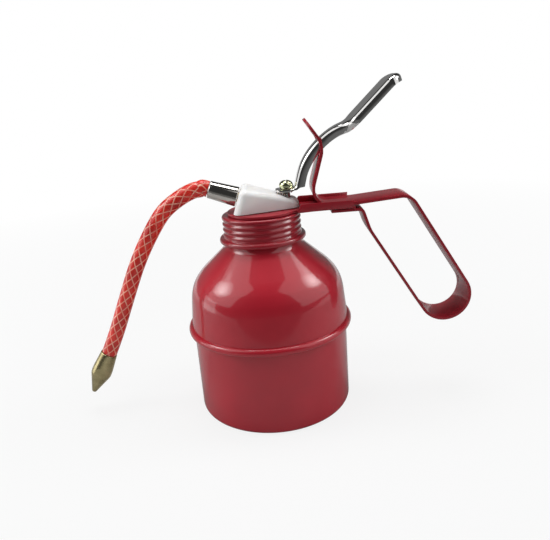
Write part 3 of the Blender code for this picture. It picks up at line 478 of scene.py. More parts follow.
def rod(radius, low, high, x=0.0):
    """Upright cylinder between two heights."""
    return bar(radius, high - low, Matrix.Translation((x, 0, (low + high) / 2)))


def soften(piece, width, angle=40.0):
    """Break the edges that are sharper than the angle."""
    modify(piece, "BEVEL", 40.0, width=width, segments=2, limit_method="ANGLE",
           angle_limit=math.radians(angle), harden_normals=False)


def tidy_up(piece):
    """Dissolve what a cut left without area, and close any hole that this opens."""
    bm = bmesh.new()
    bm.from_mesh(piece.data)
    bmesh.ops.dissolve_degenerate(bm, edges=bm.edges[:], dist=0.003 * MM)
    close_ends(bm)
    bm.to_mesh(piece.data)
    bm.free()


# %% [markdown]
# ## The hose
#
# The spout is a short length of clear red hose with a braid moulded into its wall. It leaves
# the ferrule in line with it, bends over, and hangs down to the nozzle. Its route is a smooth
# curve through points measured along the hose.

# %% Hose route
PUMP_X = 12.0 * MM
HEAD_LOW = 92.9 * MM
HEAD_LEFT = -11.6 * MM
SPOUT_Z = 98.85 * MM
SPOUT_RISE = math.radians(19.7)
FERRULE_L = 13.2 * MM
HOSE_D = 7.1 * MM
GRIPPED = 2.5 * MM
GAP = 0.3 * MM
nozzle_root = Vector((-78.2, 28.8)) * MM
nozzle_tip = Vector((-89.0, 9.1)) * MM
spout_way = Vector((-math.cos(SPOUT_RISE), math.sin(SPOUT_RISE)))
spout_foot = Vector((HEAD_LEFT + math.tan(SPOUT_RISE) * (SPOUT_Z - HEAD_LOW), SPOUT_Z))
hose_start = spout_foot + spout_way * (FERRULE_L + GAP)
nozzle_back = (nozzle_root - nozzle_tip).normalized()
hose_end = nozzle_root + nozzle_back * GAP
middle = [(-25.6, 103.7), (-29.6, 103.0), (-36.2, 99.8), (-43.7, 94.0), (-51.7, 82.9),
          (-58.6, 70.8), (-65.35, 56.15), (-72.1, 40.95)]
route = [hose_start, hose_start + spout_way * GRIPPED, *(Vector(p) * MM for p in middle),
         hose_end + nozzle_back * GRIPPED, hose_end]


def smooth(points, per_leg):
    """Points of a smooth curve through the given ones."""
    curve = []
    for i in range(len(points) - 1):
        before, here = points[max(0, i - 1)], points[i]
        ahead, beyond = points[i + 1], points[min(len(points) - 1, i + 2)]
        into, out = (ahead - before) / 2, (beyond - here) / 2
        for k in range(per_leg):
            t = k / per_leg
            curve.append(here * (2 * t ** 3 - 3 * t ** 2 + 1) + into * (t ** 3 - 2 * t ** 2 + t)
                         + ahead * (3 * t ** 2 - 2 * t ** 3) + out * (t ** 3 - t ** 2))
    return curve + [points[-1]]


hose_line = smooth(route, 8)
hose_length = sum((b - a).length for a, b in zip(hose_line, hose_line[1:]))
print("hose length in mm:", round(hose_length / MM, 1))

# %% [markdown]
# The tube starts as a ring of edges. Each ring is extruded to the next station and set square
# to the route there. The tube gets a map of its own: once round is 0 to 1 across, and the
# length runs up the other axis in metres.

# %% Hose tube
AROUND = 40


def next_ring(bm, ring):
    """Extrude a ring of vertices, and give the new ones in the same order."""
    touching = dict.fromkeys(edge for vert in ring for edge in vert.link_edges)
    edges = [edge for edge in touching if all(vert in ring for vert in edge.verts)]
    made = new_verts(bmesh.ops.extrude_edge_only(bm, edges=edges)["geom"])
    made_from = {edge.other_vert(vert): vert for vert in made for edge in vert.link_edges}
    return [made_from[vert] for vert in ring]


def hose_tube():
    bm = bmesh.new()
    ring = bmesh.ops.create_circle(bm, segments=AROUND, radius=HOSE_D / 2)["verts"]
    uv = bm.loops.layers.uv.new("braid")
    side = Vector((0, 1, 0))
    travelled = 0.0
    spots = {}
    for i, point in enumerate(hose_line):
        ahead = hose_line[min(i + 1, len(hose_line) - 1)]
        behind = hose_line[max(i - 1, 0)]
        way = Vector((ahead.x - behind.x, 0, ahead.y - behind.y)).normalized()
        across = side.cross(way)
        if i:
            ring = next_ring(bm, ring)
            travelled += (point - hose_line[i - 1]).length
        for k, vert in enumerate(ring):
            turned = math.tau * k / AROUND
            vert.co = (Vector((point.x, 0, point.y))
                       + (across * math.cos(turned) + side * math.sin(turned)) * HOSE_D / 2)
            spots[vert] = (k / AROUND, travelled)
    for face in bm.faces:
        shares = [spots[vert][0] for vert in face.verts]
        wraps = min(shares) == 0 and max(shares) > 0.9
        for loop in face.loops:
            share, mark = spots[loop.vert]
            loop[uv].uv = (1.0 if wraps and share == 0 else share, mark)
    close_ends(bm)
    face_out(bm)
    return bm


# %% [markdown]
# The braid is two sets of strands that wind round the hose in opposite ways. Each set is a
# repeating slope on the tube's map, so it follows every bend. The strands lie deeper in the
# vinyl in some places, and are fainter there.

# %% Braid
STRANDS = 6.0    # of each set, round the hose
STRANDS_PER_M = 175.0
STRAND_CORE, STRAND_EDGE = 0.045, 0.095


def braided_vinyl():
    vinyl = Finish("braided_vinyl", Roughness=0.34, Coat_Weight=0.30, Coat_Roughness=0.10,
                   Subsurface_Weight=0.15, Subsurface_Scale=2 * MM)
    tube_map = vinyl.node("UVMap", uv_map="braid")
    wander = (vinyl.noise(160.0, 2.0) - 0.5) * 0.16
    sets = []
    for way in (1.0, -1.0):
        wound = vinyl.part(tube_map, 0) * (STRANDS * way)
        phase = (wound + vinyl.part(tube_map, 1) * STRANDS_PER_M + wander).math("FRACT")
        off = (phase - 0.5).math("ABSOLUTE")
        sets.append(vinyl.spread(off, STRAND_CORE, STRAND_EDGE, 1.0, 0.0))
    seen = sets[0].math("MAXIMUM", sets[1])
    strength = vinyl.spread(vinyl.noise(230.0, 2.0), 0.30, 0.62, 0.35, 1.0)
    body = vinyl.blend(vinyl.spread(vinyl.noise(95.0, 2.0), 0.35, 0.65),
                       colour(0.52, 0.009, 0.006), colour(0.80, 0.030, 0.016))
    vinyl.set(Base_Color=vinyl.blend(seen * strength, body, colour(0.98, 0.52, 0.38)),
              Normal=vinyl.bump(seen, 0.06 * MM, 0.5))
    return vinyl.material


hose = keep("braided_hose", hose_tube(), braided_vinyl(), "pump", ["spout_hose"], 60.0)

# %% [markdown]
# ## The nozzle
#
# The nozzle is turned brass: a short sleeve that swells, then a cone to a small hole. It is
# squeezed onto the hose with a pliers-like tool, which leaves two shallow round dents where
# it is widest.

# %% Nozzle
NOZZLE_L = (nozzle_tip - nozzle_root).length
SOCKET_R, NOZZLE_HOLE_R = 1.6 * MM, 0.45 * MM
SLEEVE_R, SWELL_R, TIP_R = 3.8 * MM, 4.75 * MM, 1.0 * MM
CONE_FOOT = 12.0 * MM
DENTS, DENT_TURN = 2, math.radians(8)
DENT_Z, DENT_DEPTH = 11.0 * MM, 0.30 * MM
DENT_WIDE, DENT_TALL = 1.6 * MM, 2.6 * MM
OUTER_WALL = 2.6 * MM
nozzle_bm = turn([(SOCKET_R, 0), (SLEEVE_R, 0, 0.35 * MM), (SWELL_R, 9.0 * MM, 1.4 * MM),
                  (SWELL_R, CONE_FOOT, 0.9 * MM), (TIP_R, NOZZLE_L, 0.25 * MM),
                  (NOZZLE_HOLE_R, NOZZLE_L), (NOZZLE_HOLE_R, NOZZLE_L - 4 * MM),
                  (SOCKET_R, CONE_FOOT)], closed=True, steps=96, segments=8)
long_edges = [e for e in nozzle_bm.edges if e.calc_length() > 1.2 * MM]
bmesh.ops.subdivide_edges(nozzle_bm, edges=long_edges, cuts=5, use_grid_fill=True)
for vert in nozzle_bm.verts:
    spoke = Vector((vert.co.x, vert.co.y))
    if spoke.length < OUTER_WALL:
        continue
    for k in range(DENTS):
        facing = math.tau * (k + 0.5) / DENTS + DENT_TURN
        turned = (math.atan2(spoke.y, spoke.x) - facing + math.pi) % math.tau - math.pi
        apart = math.hypot(spoke.length * turned / DENT_WIDE, (vert.co.z - DENT_Z) / DENT_TALL)
        dent = math.exp(-apart ** 4) * DENT_DEPTH
        vert.co -= Vector((spoke.x, spoke.y, 0)).normalized() * dent
nozzle = keep("brass_nozzle", nozzle_bm, nozzle_brass, "pump", ["spout_nozzle"], 50.0,
              along(nozzle_root, nozzle_tip))

# %% [markdown]
# ## The ferrule
#
# A plated sleeve covers the nipple between head and hose. It tapers a little towards the
# hose, and both ends are rolled in.

# %% Ferrule
NIPPLE_R, LIP_R = 2.55 * MM, 3.3 * MM
WIDE_R, NARROW_R = 4.42 * MM, 3.86 * MM
ferrule_bm = turn([(NIPPLE_R, GAP), (WIDE_R, GAP, 0.4 * MM), (NARROW_R, FERRULE_L - 1.5 * MM, 0.5 * MM),
                   (NARROW_R, FERRULE_L, 0.45 * MM), (LIP_R, FERRULE_L),
                   (LIP_R, FERRULE_L - 0.5 * MM), (NIPPLE_R, FERRULE_L - 0.5 * MM)],
                  closed=True, steps=96)
spout_line = along(spout_foot, spout_foot + spout_way)
keep("spout_sleeve", ferrule_bm, ferrule_nickel, "pump", ["spout_ferrule"],
     matrix=spout_line)

# %% [markdown]
# ## The can
#
# The can is two deep-drawn pieces: a cup, and a shoulder that is folded over the cup's rim in
# one seam. Each is one line, spun and then given its sheet thickness on the inside. The
# neck's thread is rolled, so the spun wall is pushed in along a helix before it gets its
# thickness.

# %% Cup and shoulder
CUP_R = 35.6 * MM
RIM_R, RIM_TOP = 36.95 * MM, 40.2 * MM
SEAM_R, SEAM_ROUND = 38.0 * MM, 1.69 * MM
SEAM_LOW, SEAM_HIGH = 38.2 * MM, 41.8 * MM
SHEET = 0.5 * MM
PITCH = 2.45 * MM
THREAD_DEPTH = 0.7 * MM
THREAD_ZERO = 84.0 * MM
ON_WALL = 0.12 * MM
NECK_R = 16.7 * MM
THREAD_LOW, NECK_TOP = 79.2 * MM, 88.65 * MM


def rolled_thread(bm, radius, low, high, run_in):
    """Push the wall at a radius in along a right-hand helix between two heights."""
    for vert in bm.verts:
        flat = math.hypot(vert.co.x, vert.co.y)
        if abs(flat - radius) > ON_WALL or not low <= vert.co.z <= high:
            continue
        phase = math.tau * (vert.co.z - THREAD_ZERO) / PITCH - math.atan2(vert.co.y, vert.co.x)
        dip = THREAD_DEPTH * (1 - math.cos(phase)) / 2 * min(1.0, (vert.co.z - low) / run_in)
        vert.co.x *= (flat - dip) / flat
        vert.co.y *= (flat - dip) / flat


def slices(bm, places, axis=(1, 0, 0)):
    """Cut a mesh across at each distance along an axis, so that it can bend there."""
    for place in places:
        bmesh.ops.bisect_plane(bm, geom=bm.verts[:] + bm.edges[:] + bm.faces[:], dist=1e-7,
                               plane_co=Vector(axis) * place, plane_no=axis)


def every(step, high, low=0.0):
    """Places one step apart, from low to just under high."""
    return [low + k * step for k in range(math.ceil((high - low) / step))]


cup_bm = turn([(0, 0), (CUP_R, 0, 2.2 * MM), (CUP_R, RIM_TOP, 0.15 * MM), (RIM_R, RIM_TOP, 0.15 * MM),
               (RIM_R, 39.5 * MM)], steps=160)
thicken(cup_bm, SHEET)
keep("can_cup_drawn", cup_bm, can_paint, "can", ["can_cup"])

shoulder_bm = turn([(CUP_R + GAP, SEAM_LOW), (SEAM_R, SEAM_LOW, SEAM_ROUND),
                    (SEAM_R, SEAM_HIGH, SEAM_ROUND), (36.3 * MM, SEAM_HIGH, 0.25 * MM),
                    (34.8 * MM, 57.0 * MM, 2.4 * MM), (33.2 * MM, 61.6 * MM, 2.4 * MM),
                    (30.0 * MM, 66.0 * MM, 3.0 * MM), (NECK_R, 78.0 * MM, 2.0 * MM),
                    (NECK_R, NECK_TOP)], steps=160, segments=12)
slices(shoulder_bm, every(PITCH / 10, NECK_TOP, THREAD_LOW), (0, 0, 1))
rolled_thread(shoulder_bm, NECK_R, THREAD_LOW, NECK_TOP + MM, 1.2 * MM)
thicken(shoulder_bm, SHEET)
keep("can_shoulder_drawn", shoulder_bm, can_paint, "can", ["can_shoulder"])

# %% [markdown]
# ## The cap
#
# The cap is pressed from thinner sheet and its thread is rolled through, so it shows outside
# as ridges too. The lower edge is rolled into a hem. The nylon head's boss and the pump's
# cylinder pass through its top.

# %% Screw cap
CAP_R, HEM_R = 17.6 * MM, 19.4 * MM
CAP_LOW, HEM_TOP, CAP_TOP = 79.2 * MM, 81.6 * MM, 91.3 * MM
ROLL_LOW, ROLL_HIGH = 82.1 * MM, 90.5 * MM
CAP_SHEET = 0.45 * MM
BARREL_HOLE_R = 3.4 * MM
BOSS_HOLE_R = 5.8 * MM
cap_bm = turn([(CAP_R + GAP, CAP_LOW), (HEM_R, CAP_LOW, 1.1 * MM), (HEM_R, HEM_TOP, 1.1 * MM),
               (CAP_R, HEM_TOP, 0.3 * MM), (CAP_R, CAP_TOP, 0.8 * MM), (BOSS_HOLE_R, CAP_TOP)],
              steps=160)
slices(cap_bm, every(PITCH / 12, ROLL_HIGH - 0.1 * MM, ROLL_LOW), (0, 0, 1))
rolled_thread(cap_bm, CAP_R, ROLL_LOW, ROLL_HIGH, MM)
thicken(cap_bm, CAP_SHEET)
cap = keep("rolled_cap", cap_bm, cap_paint, "pump", ["screw_cap"])
cut(cap, rod(BARREL_HOLE_R, CAP_TOP - 2 * MM, CAP_TOP + 2 * MM, PUMP_X))

# %% [markdown]
# ## Bending flat patterns
#
# The bracket, the handle and the lever start flat, as they do in the press. A flat pattern
# lies in distance `s` along the strip and `y` across it. `Bend` knows the strip's side view
# and moves every vertex of the pattern to its place on it.

# %% Flat patterns
class Bend:
    """Side view of a strip: a smooth line in the XZ plane."""

    def __init__(self, corners, segments=16):
        guide = bmesh.new()
        line(guide, corners, segments=segments)
        ends = [v for v in guide.verts if len(v.link_edges) == 1]
        here = min(ends, key=lambda v: (v.co.xz - Vector(corners[0][:2])).length)
        self.points, last = [], None
        while here:
            self.points.append(here.co.xz)
            following = [e.other_vert(here) for e in here.link_edges if e.other_vert(here) != last]
            last, here = here, following[0] if following else None
        guide.free()
        self.marks = [0.0]
        for a, b in zip(self.points, self.points[1:]):
            self.marks.append(self.marks[-1] + (b - a).length)
        self.length = self.marks[-1]

    def side(self, i):
        """Left-hand normal at a point of the line, halfway between its two legs."""
        a = self.points[max(i - 1, 0)]
        b = self.points[min(i + 1, len(self.points) - 1)]
        return Vector((-(b - a).y, (b - a).x)).normalized()

    def place(self, s, up):
        i = 0
        while i < len(self.marks) - 2 and self.marks[i + 1] < s:
            i += 1
        share = (s - self.marks[i]) / (self.marks[i + 1] - self.marks[i])
        normal = self.side(i).lerp(self.side(i + 1), min(1.0, max(0.0, share)))
        return self.points[i].lerp(self.points[i + 1], share) + normal * up

    def form(self, bm):
        for vert in bm.verts:
            spot = self.place(vert.co.x, vert.co.z)
            vert.co = (spot.x, vert.co.y, spot.y)


def with_reaches(corners):
    """The corners (x, z, radius), with each radius changed to the reach of its arc."""
    done = []
    for i, corner in enumerate(corners):
        if len(corner) > 2:
            legs = [Vector(corners[k][:2]) - Vector(corner[:2]) for k in (i - 1, i + 1)]
            opening = legs[0].normalized().angle(legs[1].normalized())
            reach = min(corner[2] / math.tan(opening / 2), *(0.98 * leg.length for leg in legs))
            corner = (*corner[:2], reach)
        done.append(corner)
    return done


def plate(corners, put, segments=ARC):
    """One flat face with rounded corners, its two coordinates put where they belong."""
    bm = bmesh.new()
    verts = [bm.verts.new(put(*corner[:2])) for corner in corners]
    bm.faces.new(verts)
    round_corners(bm, verts, corners, segments)
    return bm


def pattern(corners):
    """Flat pattern in (s, y), with its face up."""
    bm = plate(corners, lambda s, y: (s, y, 0.0))
    bm.normal_update()
    turn_over(bm, sum(face.normal.z for face in bm.faces) < 0)
    return bm


def ease(share):
    """From 0 to 1 with a soft start and a soft end."""
    share = min(1.0, max(0.0, share))
    return share * share * (3 - 2 * share)


# %% [markdown]
# ## The handle
#
# One strip, 16.7 mm wide, makes the whole handle. Its round tip stands up with a slot for the
# lever, it runs flat along the bracket's channel, goes round the finger loop and comes back
# under the arm, where it is spot welded.

# %% Handle strip
STRAP_W, STRAP_T = 16.7 * MM, 1.2 * MM
FLAT_Z, TAB_Z = 93.5 * MM, 90.7 * MM
LOOP_TOP, LOOP_FOOT = 95.2 * MM, 81.2 * MM
LOOP_LEAN = math.radians(59.0)
LOOP_R = 11.3 * MM
TIP_ROUND = 7.2 * MM
loop_centre = Vector((80.5, 47.6)) * MM
loop_run = Vector((math.cos(LOOP_LEAN), -math.sin(LOOP_LEAN)))
loop_across = Vector((math.sin(LOOP_LEAN), math.cos(LOOP_LEAN)))
front = loop_centre + (loop_across + loop_run) * LOOP_R
back = loop_centre + (loop_run - loop_across) * LOOP_R
slope = loop_run.x / -loop_run.y
strap_line = Bend(with_reaches([
    (21.3 * MM, 129.9 * MM),  # tip of the upright
    (28.6 * MM, 119.0 * MM, 9.0 * MM),  # its bend above the slot
    (20.9 * MM, FLAT_Z, 7.5 * MM),  # its foot
    (41.0 * MM, FLAT_Z, 30.0 * MM),  # end of the channel
    (front.x - slope * (LOOP_TOP - front.y), LOOP_TOP, 6.6 * MM),  # top of the loop
    (front.x, front.y, LOOP_R), (back.x, back.y, LOOP_R),  # round end of the loop
    (back.x - slope * (LOOP_FOOT - back.y), LOOP_FOOT, 15.0 * MM),  # back under the arm
    (44.1 * MM, TAB_Z, 2.0 * MM), (30.6 * MM, TAB_Z)]))  # the welded tab
half = STRAP_W / 2
strap_bm = pattern([(0, -half, TIP_ROUND), (strap_line.length, -half), (strap_line.length, half),
                    (0, half, TIP_ROUND)])
slices(strap_bm, every(0.8 * MM, strap_line.length))
strap_line.form(strap_bm)
strap = keep("handle_strip", strap_bm, metalwork_paint, "pump", ["handle_strap"])
give_wall(strap, STRAP_T, 0.0)
print("strip length in mm:", round(strap_line.length / MM, 1))

# %% [markdown]
# The real slot is punched while the strip is flat. Here it is cut straight through the
# bent upright, which gives the same opening for the lever.

# %% Slot in the upright
SLOT_W, SLOT_LOW, SLOT_HIGH = 10.4 * MM, 114.8 * MM, 125.2 * MM
PUNCH_X, PUNCH_L = 17.3 * MM, 16 * MM
slot_corners = [(-SLOT_W / 2, SLOT_LOW, 1.2 * MM), (SLOT_W / 2, SLOT_LOW, 1.2 * MM),
                (SLOT_W / 2, SLOT_HIGH, 3.1 * MM), (-SLOT_W / 2, SLOT_HIGH, 3.1 * MM)]
punch = plate(slot_corners, lambda y, z: (PUNCH_X, y, z), 8)
move(punch, (PUNCH_L, 0, 0), pull(punch))
cut(strap, punch)
soften(strap, 0.18 * MM)

# %% [markdown]
# ## The bracket
#
# A round plate sits on the cap and runs out into a channel that holds the handle. Arcs of the
# outline come from spinning a single vertex.

# %% Bracket outline
BRACKET_LOW = CAP_TOP + GAP
BRACKET_T = 1.0 * MM
PLATE_X, PLATE_R = 0.9 * MM, 15.8 * MM
ARM_HALF_OUT, ARM_END = 9.8 * MM, 40.0 * MM
CORNER, NECK_ROUND = 1.3 * MM, 3.0 * MM
floor_half = ARM_HALF_OUT - CORNER
blend_y = floor_half + NECK_ROUND
blend_x = PLATE_X + math.sqrt((PLATE_R + NECK_ROUND) ** 2 - blend_y ** 2)
meet = math.atan2(blend_y, blend_x - PLATE_X)
quarter = math.pi / 2
blank = bmesh.new()


def arc(bm, centre, begin, sweep, radius, steps):
    """Wire arc made by spinning one vertex."""
    start = (centre[0] + radius * math.cos(begin), centre[1] + radius * math.sin(begin), 0)
    bmesh.ops.spin(bm, geom=[bm.verts.new(start)], cent=(*centre, 0), axis=(0, 0, 1),
                   angle=sweep, steps=steps)


for way in (1, -1):
    arc(blank, (blend_x, way * blend_y), -way * quarter, -way * (quarter - meet), NECK_ROUND, 8)
arc(blank, (PLATE_X, 0), meet, math.tau - 2 * meet, PLATE_R, 96)
bmesh.ops.remove_doubles(blank, verts=blank.verts[:], dist=0.02 * MM)
open_ends = [v for v in blank.verts if len(v.link_edges) == 1]
arm_corners = []
for end in sorted(open_ends, key=lambda v: v.co.y):
    arm_corners.append(blank.verts.new((ARM_END, end.co.y, 0)))
    blank.edges.new((end, arm_corners[-1]))
blank.edges.new(arm_corners)
bmesh.ops.contextual_create(blank, geom=blank.edges[:])
print("edges of the outline:", len(blank.edges))

# %% [markdown]
# The channel's walls are extruded from the outline's straight sides, first out and then up.
# They rise over a short ramp, and the fold at their foot is rounded.

# %% Bracket walls
ARM_RISE = 3.7 * MM
RAMP, LOWEST = 2.0 * MM, 0.08
NEARLY = 0.001 * MM
slices(blank, [blend_x + k * 0.25 * MM for k in range(1, 10)])
straight = [e for e in blank.edges if e.is_boundary
            and all(abs(abs(v.co.y) - floor_half) < NEARLY and v.co.x > blend_x - NEARLY for v in e.verts)]
for lift in (False, True):
    grown = bmesh.ops.extrude_edge_only(blank, edges=straight)["geom"]
    for vert in new_verts(grown):
        if lift:
            share = max(LOWEST, ease((vert.co.x - blend_x) / RAMP))
            vert.co.z = CORNER + (ARM_RISE - CORNER) * share
        else:
            vert.co.y += math.copysign(CORNER, vert.co.y)
    straight = [e for e in grown if isinstance(e, bmesh.types.BMEdge)
                and abs(e.verts[0].co.y - e.verts[1].co.y) < 1e-7]
    if not lift:
        folds = straight[:]
bevel(blank, folds, CORNER * 0.98, 6)
move(blank, (0, 0, BRACKET_LOW))
face_out(blank)
turn_over(blank, max(blank.faces, key=lambda f: f.calc_area()).normal.z > 0)
bracket = keep("bracket_channel", blank, metalwork_paint, "pump",
               ["mounting_bracket"])
give_wall(bracket, BRACKET_T)
cut(bracket, rod(BOSS_HOLE_R, BRACKET_LOW - MM, BRACKET_LOW + 3 * MM))
cut(bracket, rod(BARREL_HOLE_R, BRACKET_LOW - MM, BRACKET_LOW + 3 * MM, PUMP_X))
soften(bracket, 0.15 * MM)
tidy_up(bracket)

# %% [markdown]
# ## The pump head
#
# The head is one nylon moulding. It starts as its plan, is pulled up, and its top corners are
# then moved so that the top slopes down to the rod and the left face leans square to the
# spout. The bevel on its upper edges is wide and round, as on the real moulding.

# %% Head block
HEAD_RIGHT = 17.2 * MM
WIDE_HALF, WIDE_ROUND = 12.1 * MM, 4.5 * MM
SLIM_HALF, SLIM_ROUND = 4.0 * MM, 3.6 * MM
TOP_AT_ROD = 98.1 * MM
TOP_SLOPE = math.tan(math.radians(16.0))
DRAFT = 0.05
plan = [(HEAD_LEFT, -WIDE_HALF, WIDE_ROUND), (HEAD_RIGHT, -SLIM_HALF, SLIM_ROUND),
        (HEAD_RIGHT, SLIM_HALF, SLIM_ROUND), (HEAD_LEFT, WIDE_HALF, WIDE_ROUND)]
head_bm = plate(plan, lambda x, y: (x, y, HEAD_LOW), 14)
highest = TOP_AT_ROD + TOP_SLOPE * (PUMP_X - HEAD_LEFT) - HEAD_LOW
for vert in pull(head_bm):
    lean = math.tan(SPOUT_RISE) * (HEAD_RIGHT - vert.co.x) / (HEAD_RIGHT - HEAD_LEFT)
    rise = (TOP_AT_ROD + TOP_SLOPE * (PUMP_X - vert.co.x) - HEAD_LOW) / (1 + TOP_SLOPE * lean)
    vert.co = (vert.co.x + lean * rise, vert.co.y * (1 - DRAFT * rise / highest), HEAD_LOW + rise)
face_out(head_bm)
rim = [e for e in head_bm.edges if all(v.co.z > HEAD_LOW + MM for v in e.verts)]
bevel(head_bm, rim, 2.5 * MM, 10)
head = keep("nylon_head", head_bm, head_nylon, "pump", ["pump_head"])

# %% [markdown]
# A boss under the block goes through the bracket and the cap. The upright bores are, from
# below, the cylinder's seat, the gland for the seal, the rod's hole and a cup-shaped recess.
# The leaning ones are the spout's seat and the passage behind it.

# %% Boss and bores
BOSS_R, BOSS_LOW = 5.5 * MM, 87.4 * MM
cut(head, rod(BOSS_R, BOSS_LOW, HEAD_LOW + 0.4 * MM), "UNION")
cut(head, rod(BARREL_HOLE_R, 80 * MM, 95.3 * MM, PUMP_X))  # seat of the cylinder
cut(head, rod(2.95 * MM, 95.0 * MM, 96.7 * MM, PUMP_X))  # gland
cut(head, rod(1.95 * MM, 96.5 * MM, 104 * MM, PUMP_X))  # hole for the rod
cut(head, rod(4.5 * MM, 97.1 * MM, 104 * MM, PUMP_X))  # recess round the rod
cut(head, bar(2.5 * MM, 8 * MM, spout_line))  # seat of the spout
cut(head, bar(1.65 * MM, 16.4 * MM, spout_line, 48))  # passage with its valve

# %% [markdown]
# ## The ball screw
#
# The lever hangs on a screw with a ball for a head. The line goes up the shank, out to the
# collar, round the ball and over a low crown, and a driver slot is cut across it.

# %% Ball screw
BALL_Z, BALL_R, CROWN = 102.6 * MM, 3.05 * MM, 2.1 * MM
SHANK_R, SHANK_LOW = 1.0 * MM, 94.0 * MM
COLLAR_R, COLLAR_LOW = 1.65 * MM, 99.3 * MM
DRIVER_SLOT, DRIVER_DEPTH = Vector((8, 1, 3)) * MM, 1.1 * MM
DRIVER_TURN = math.radians(-76)
screw_bm = bmesh.new()
line(screw_bm, [(0, SHANK_LOW), (SHANK_R, SHANK_LOW), (SHANK_R, COLLAR_LOW), (COLLAR_R, COLLAR_LOW),
                (COLLAR_R, BALL_Z - math.sqrt(BALL_R ** 2 - COLLAR_R ** 2))])
last = max(screw_bm.verts, key=lambda v: (v.co.z, v.co.x))
under = math.atan2(last.co.z - BALL_Z, last.co.x)
bmesh.ops.spin(screw_bm, geom=[last], cent=(0, 0, BALL_Z), axis=(0, -1, 0), angle=quarter - under,
               steps=28)
for vert in screw_bm.verts:
    if vert.co.z > BALL_Z:
        vert.co.z = BALL_Z + (vert.co.z - BALL_Z) * CROWN / BALL_R
spun(screw_bm, 64, 0.002 * MM)
move(screw_bm, (PUMP_X, 0, 0))
screw = keep("ball_head_screw", screw_bm, screw_zinc, "plunger", ["ball_screw"], 45.0)
blade = bmesh.new()
blade_place = Vector((PUMP_X, 0, BALL_Z + CROWN - DRIVER_DEPTH + DRIVER_SLOT.z / 2))
bmesh.ops.create_cube(blade, size=1.0, matrix=Matrix.LocRotScale(
    blade_place, Matrix.Rotation(DRIVER_TURN, 3, "Z"), DRIVER_SLOT))
cut(screw, blade)
soften(screw, 0.07 * MM, 50.0)
tidy_up(screw)

# %% [markdown]
# ## The return spring
#
# A coil inside the cylinder pushes the piston down again. Wire is wound on a rod, and the last
# turn at each end is laid close so that it sits square. Spinning the wire's round section
# with a rise per step winds it. When the rod lifts, the coil has to get shorter while its top
# stays under the stop.

# %% Return spring
WIRE_D = 0.6 * MM
COIL_R = 1.8 * MM
COIL_LOW, COIL_HIGH = 54.5 * MM, 84.8 * MM
CLOSE_TURN = 0.75 * MM
OPEN_TURNS = 5
WOUND_STEPS = 32
open_rise = (COIL_HIGH - COIL_LOW - WIRE_D - 2 * CLOSE_TURN) / OPEN_TURNS
spring_bm = bmesh.new()
section = Matrix.Translation((PUMP_X + COIL_R, 0, COIL_LOW + WIRE_D / 2)) @ Matrix.Rotation(quarter, 4, "X")
bmesh.ops.create_circle(spring_bm, segments=12, radius=WIRE_D / 2, matrix=section)
wound = spring_bm.verts[:] + spring_bm.edges[:]
for turns, rise in ((1, CLOSE_TURN), (OPEN_TURNS, open_rise), (1, CLOSE_TURN)):
    wound = bmesh.ops.spin(spring_bm, geom=wound, cent=(PUMP_X, 0, 0), axis=(0, 0, 1),
                           angle=math.tau * turns, dvec=(0, 0, rise / WOUND_STEPS),
                           steps=WOUND_STEPS * turns)["geom_last"]
close_ends(spring_bm)
face_out(spring_bm)
spring = keep("wound_spring", spring_bm, spring_wire, "pump", ["return_spring"], 60.0)
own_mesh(spring)

# %% [markdown]
# ## The lever
#
# The lever is a pressed channel. Its side view is one line: a flat tongue, a long curved arm,
# and a straight thumb pad that turns down at its end. In the flat it is a narrow strip that
# flares into the pad.

# %% Lever outline
TONGUE_TOP = 100.9 * MM
ARM_HALF, PAD_HALF = 4.25 * MM, 9.0 * MM
knee = (39.3 * MM, 127.7 * MM)
lever_line = Bend(with_reaches([
    (7.2 * MM, TONGUE_TOP), (15.4 * MM, TONGUE_TOP, 1.8 * MM),  # tongue
    (21.1 * MM, 122.3 * MM, 29.2 * MM), (*knee, 9.0 * MM),  # arm
    (57.2 * MM, 144.5 * MM, 10.0 * MM), (61.5 * MM, 145.8 * MM)]))  # pad and its end
fold_start = next(m for m, p in zip(lever_line.marks, lever_line.points) if p.y > TONGUE_TOP + 1.2 * MM)
at_knee = min(zip(lever_line.marks, lever_line.points), key=lambda mark: (mark[1] - Vector(knee)).length)[0]
flare, shoulder, flared = at_knee - 9.5 * MM, at_knee - 1.6 * MM, at_knee + 1.8 * MM
tip = lever_line.length
outline = [(0, ARM_HALF, 3.2 * MM), (flare, ARM_HALF, 3.0 * MM),
           (shoulder, ARM_HALF + 1.4 * MM, 1.6 * MM), (flared, PAD_HALF, 1.5 * MM),
           (tip, PAD_HALF, 6.3 * MM)]
blank = pattern(outline + [(s, -y, rounding) for s, y, rounding in outline[::-1]])
print("lever length in the flat, in mm:", round(tip / MM, 1))

# %% [markdown]
# The flange is extruded down from the edge, the fold between them is rounded, and the flange
# is cut at a slant beside the tongue. Only then is the whole bent along its side view. The
# tongue is left flat and drilled for the ball.

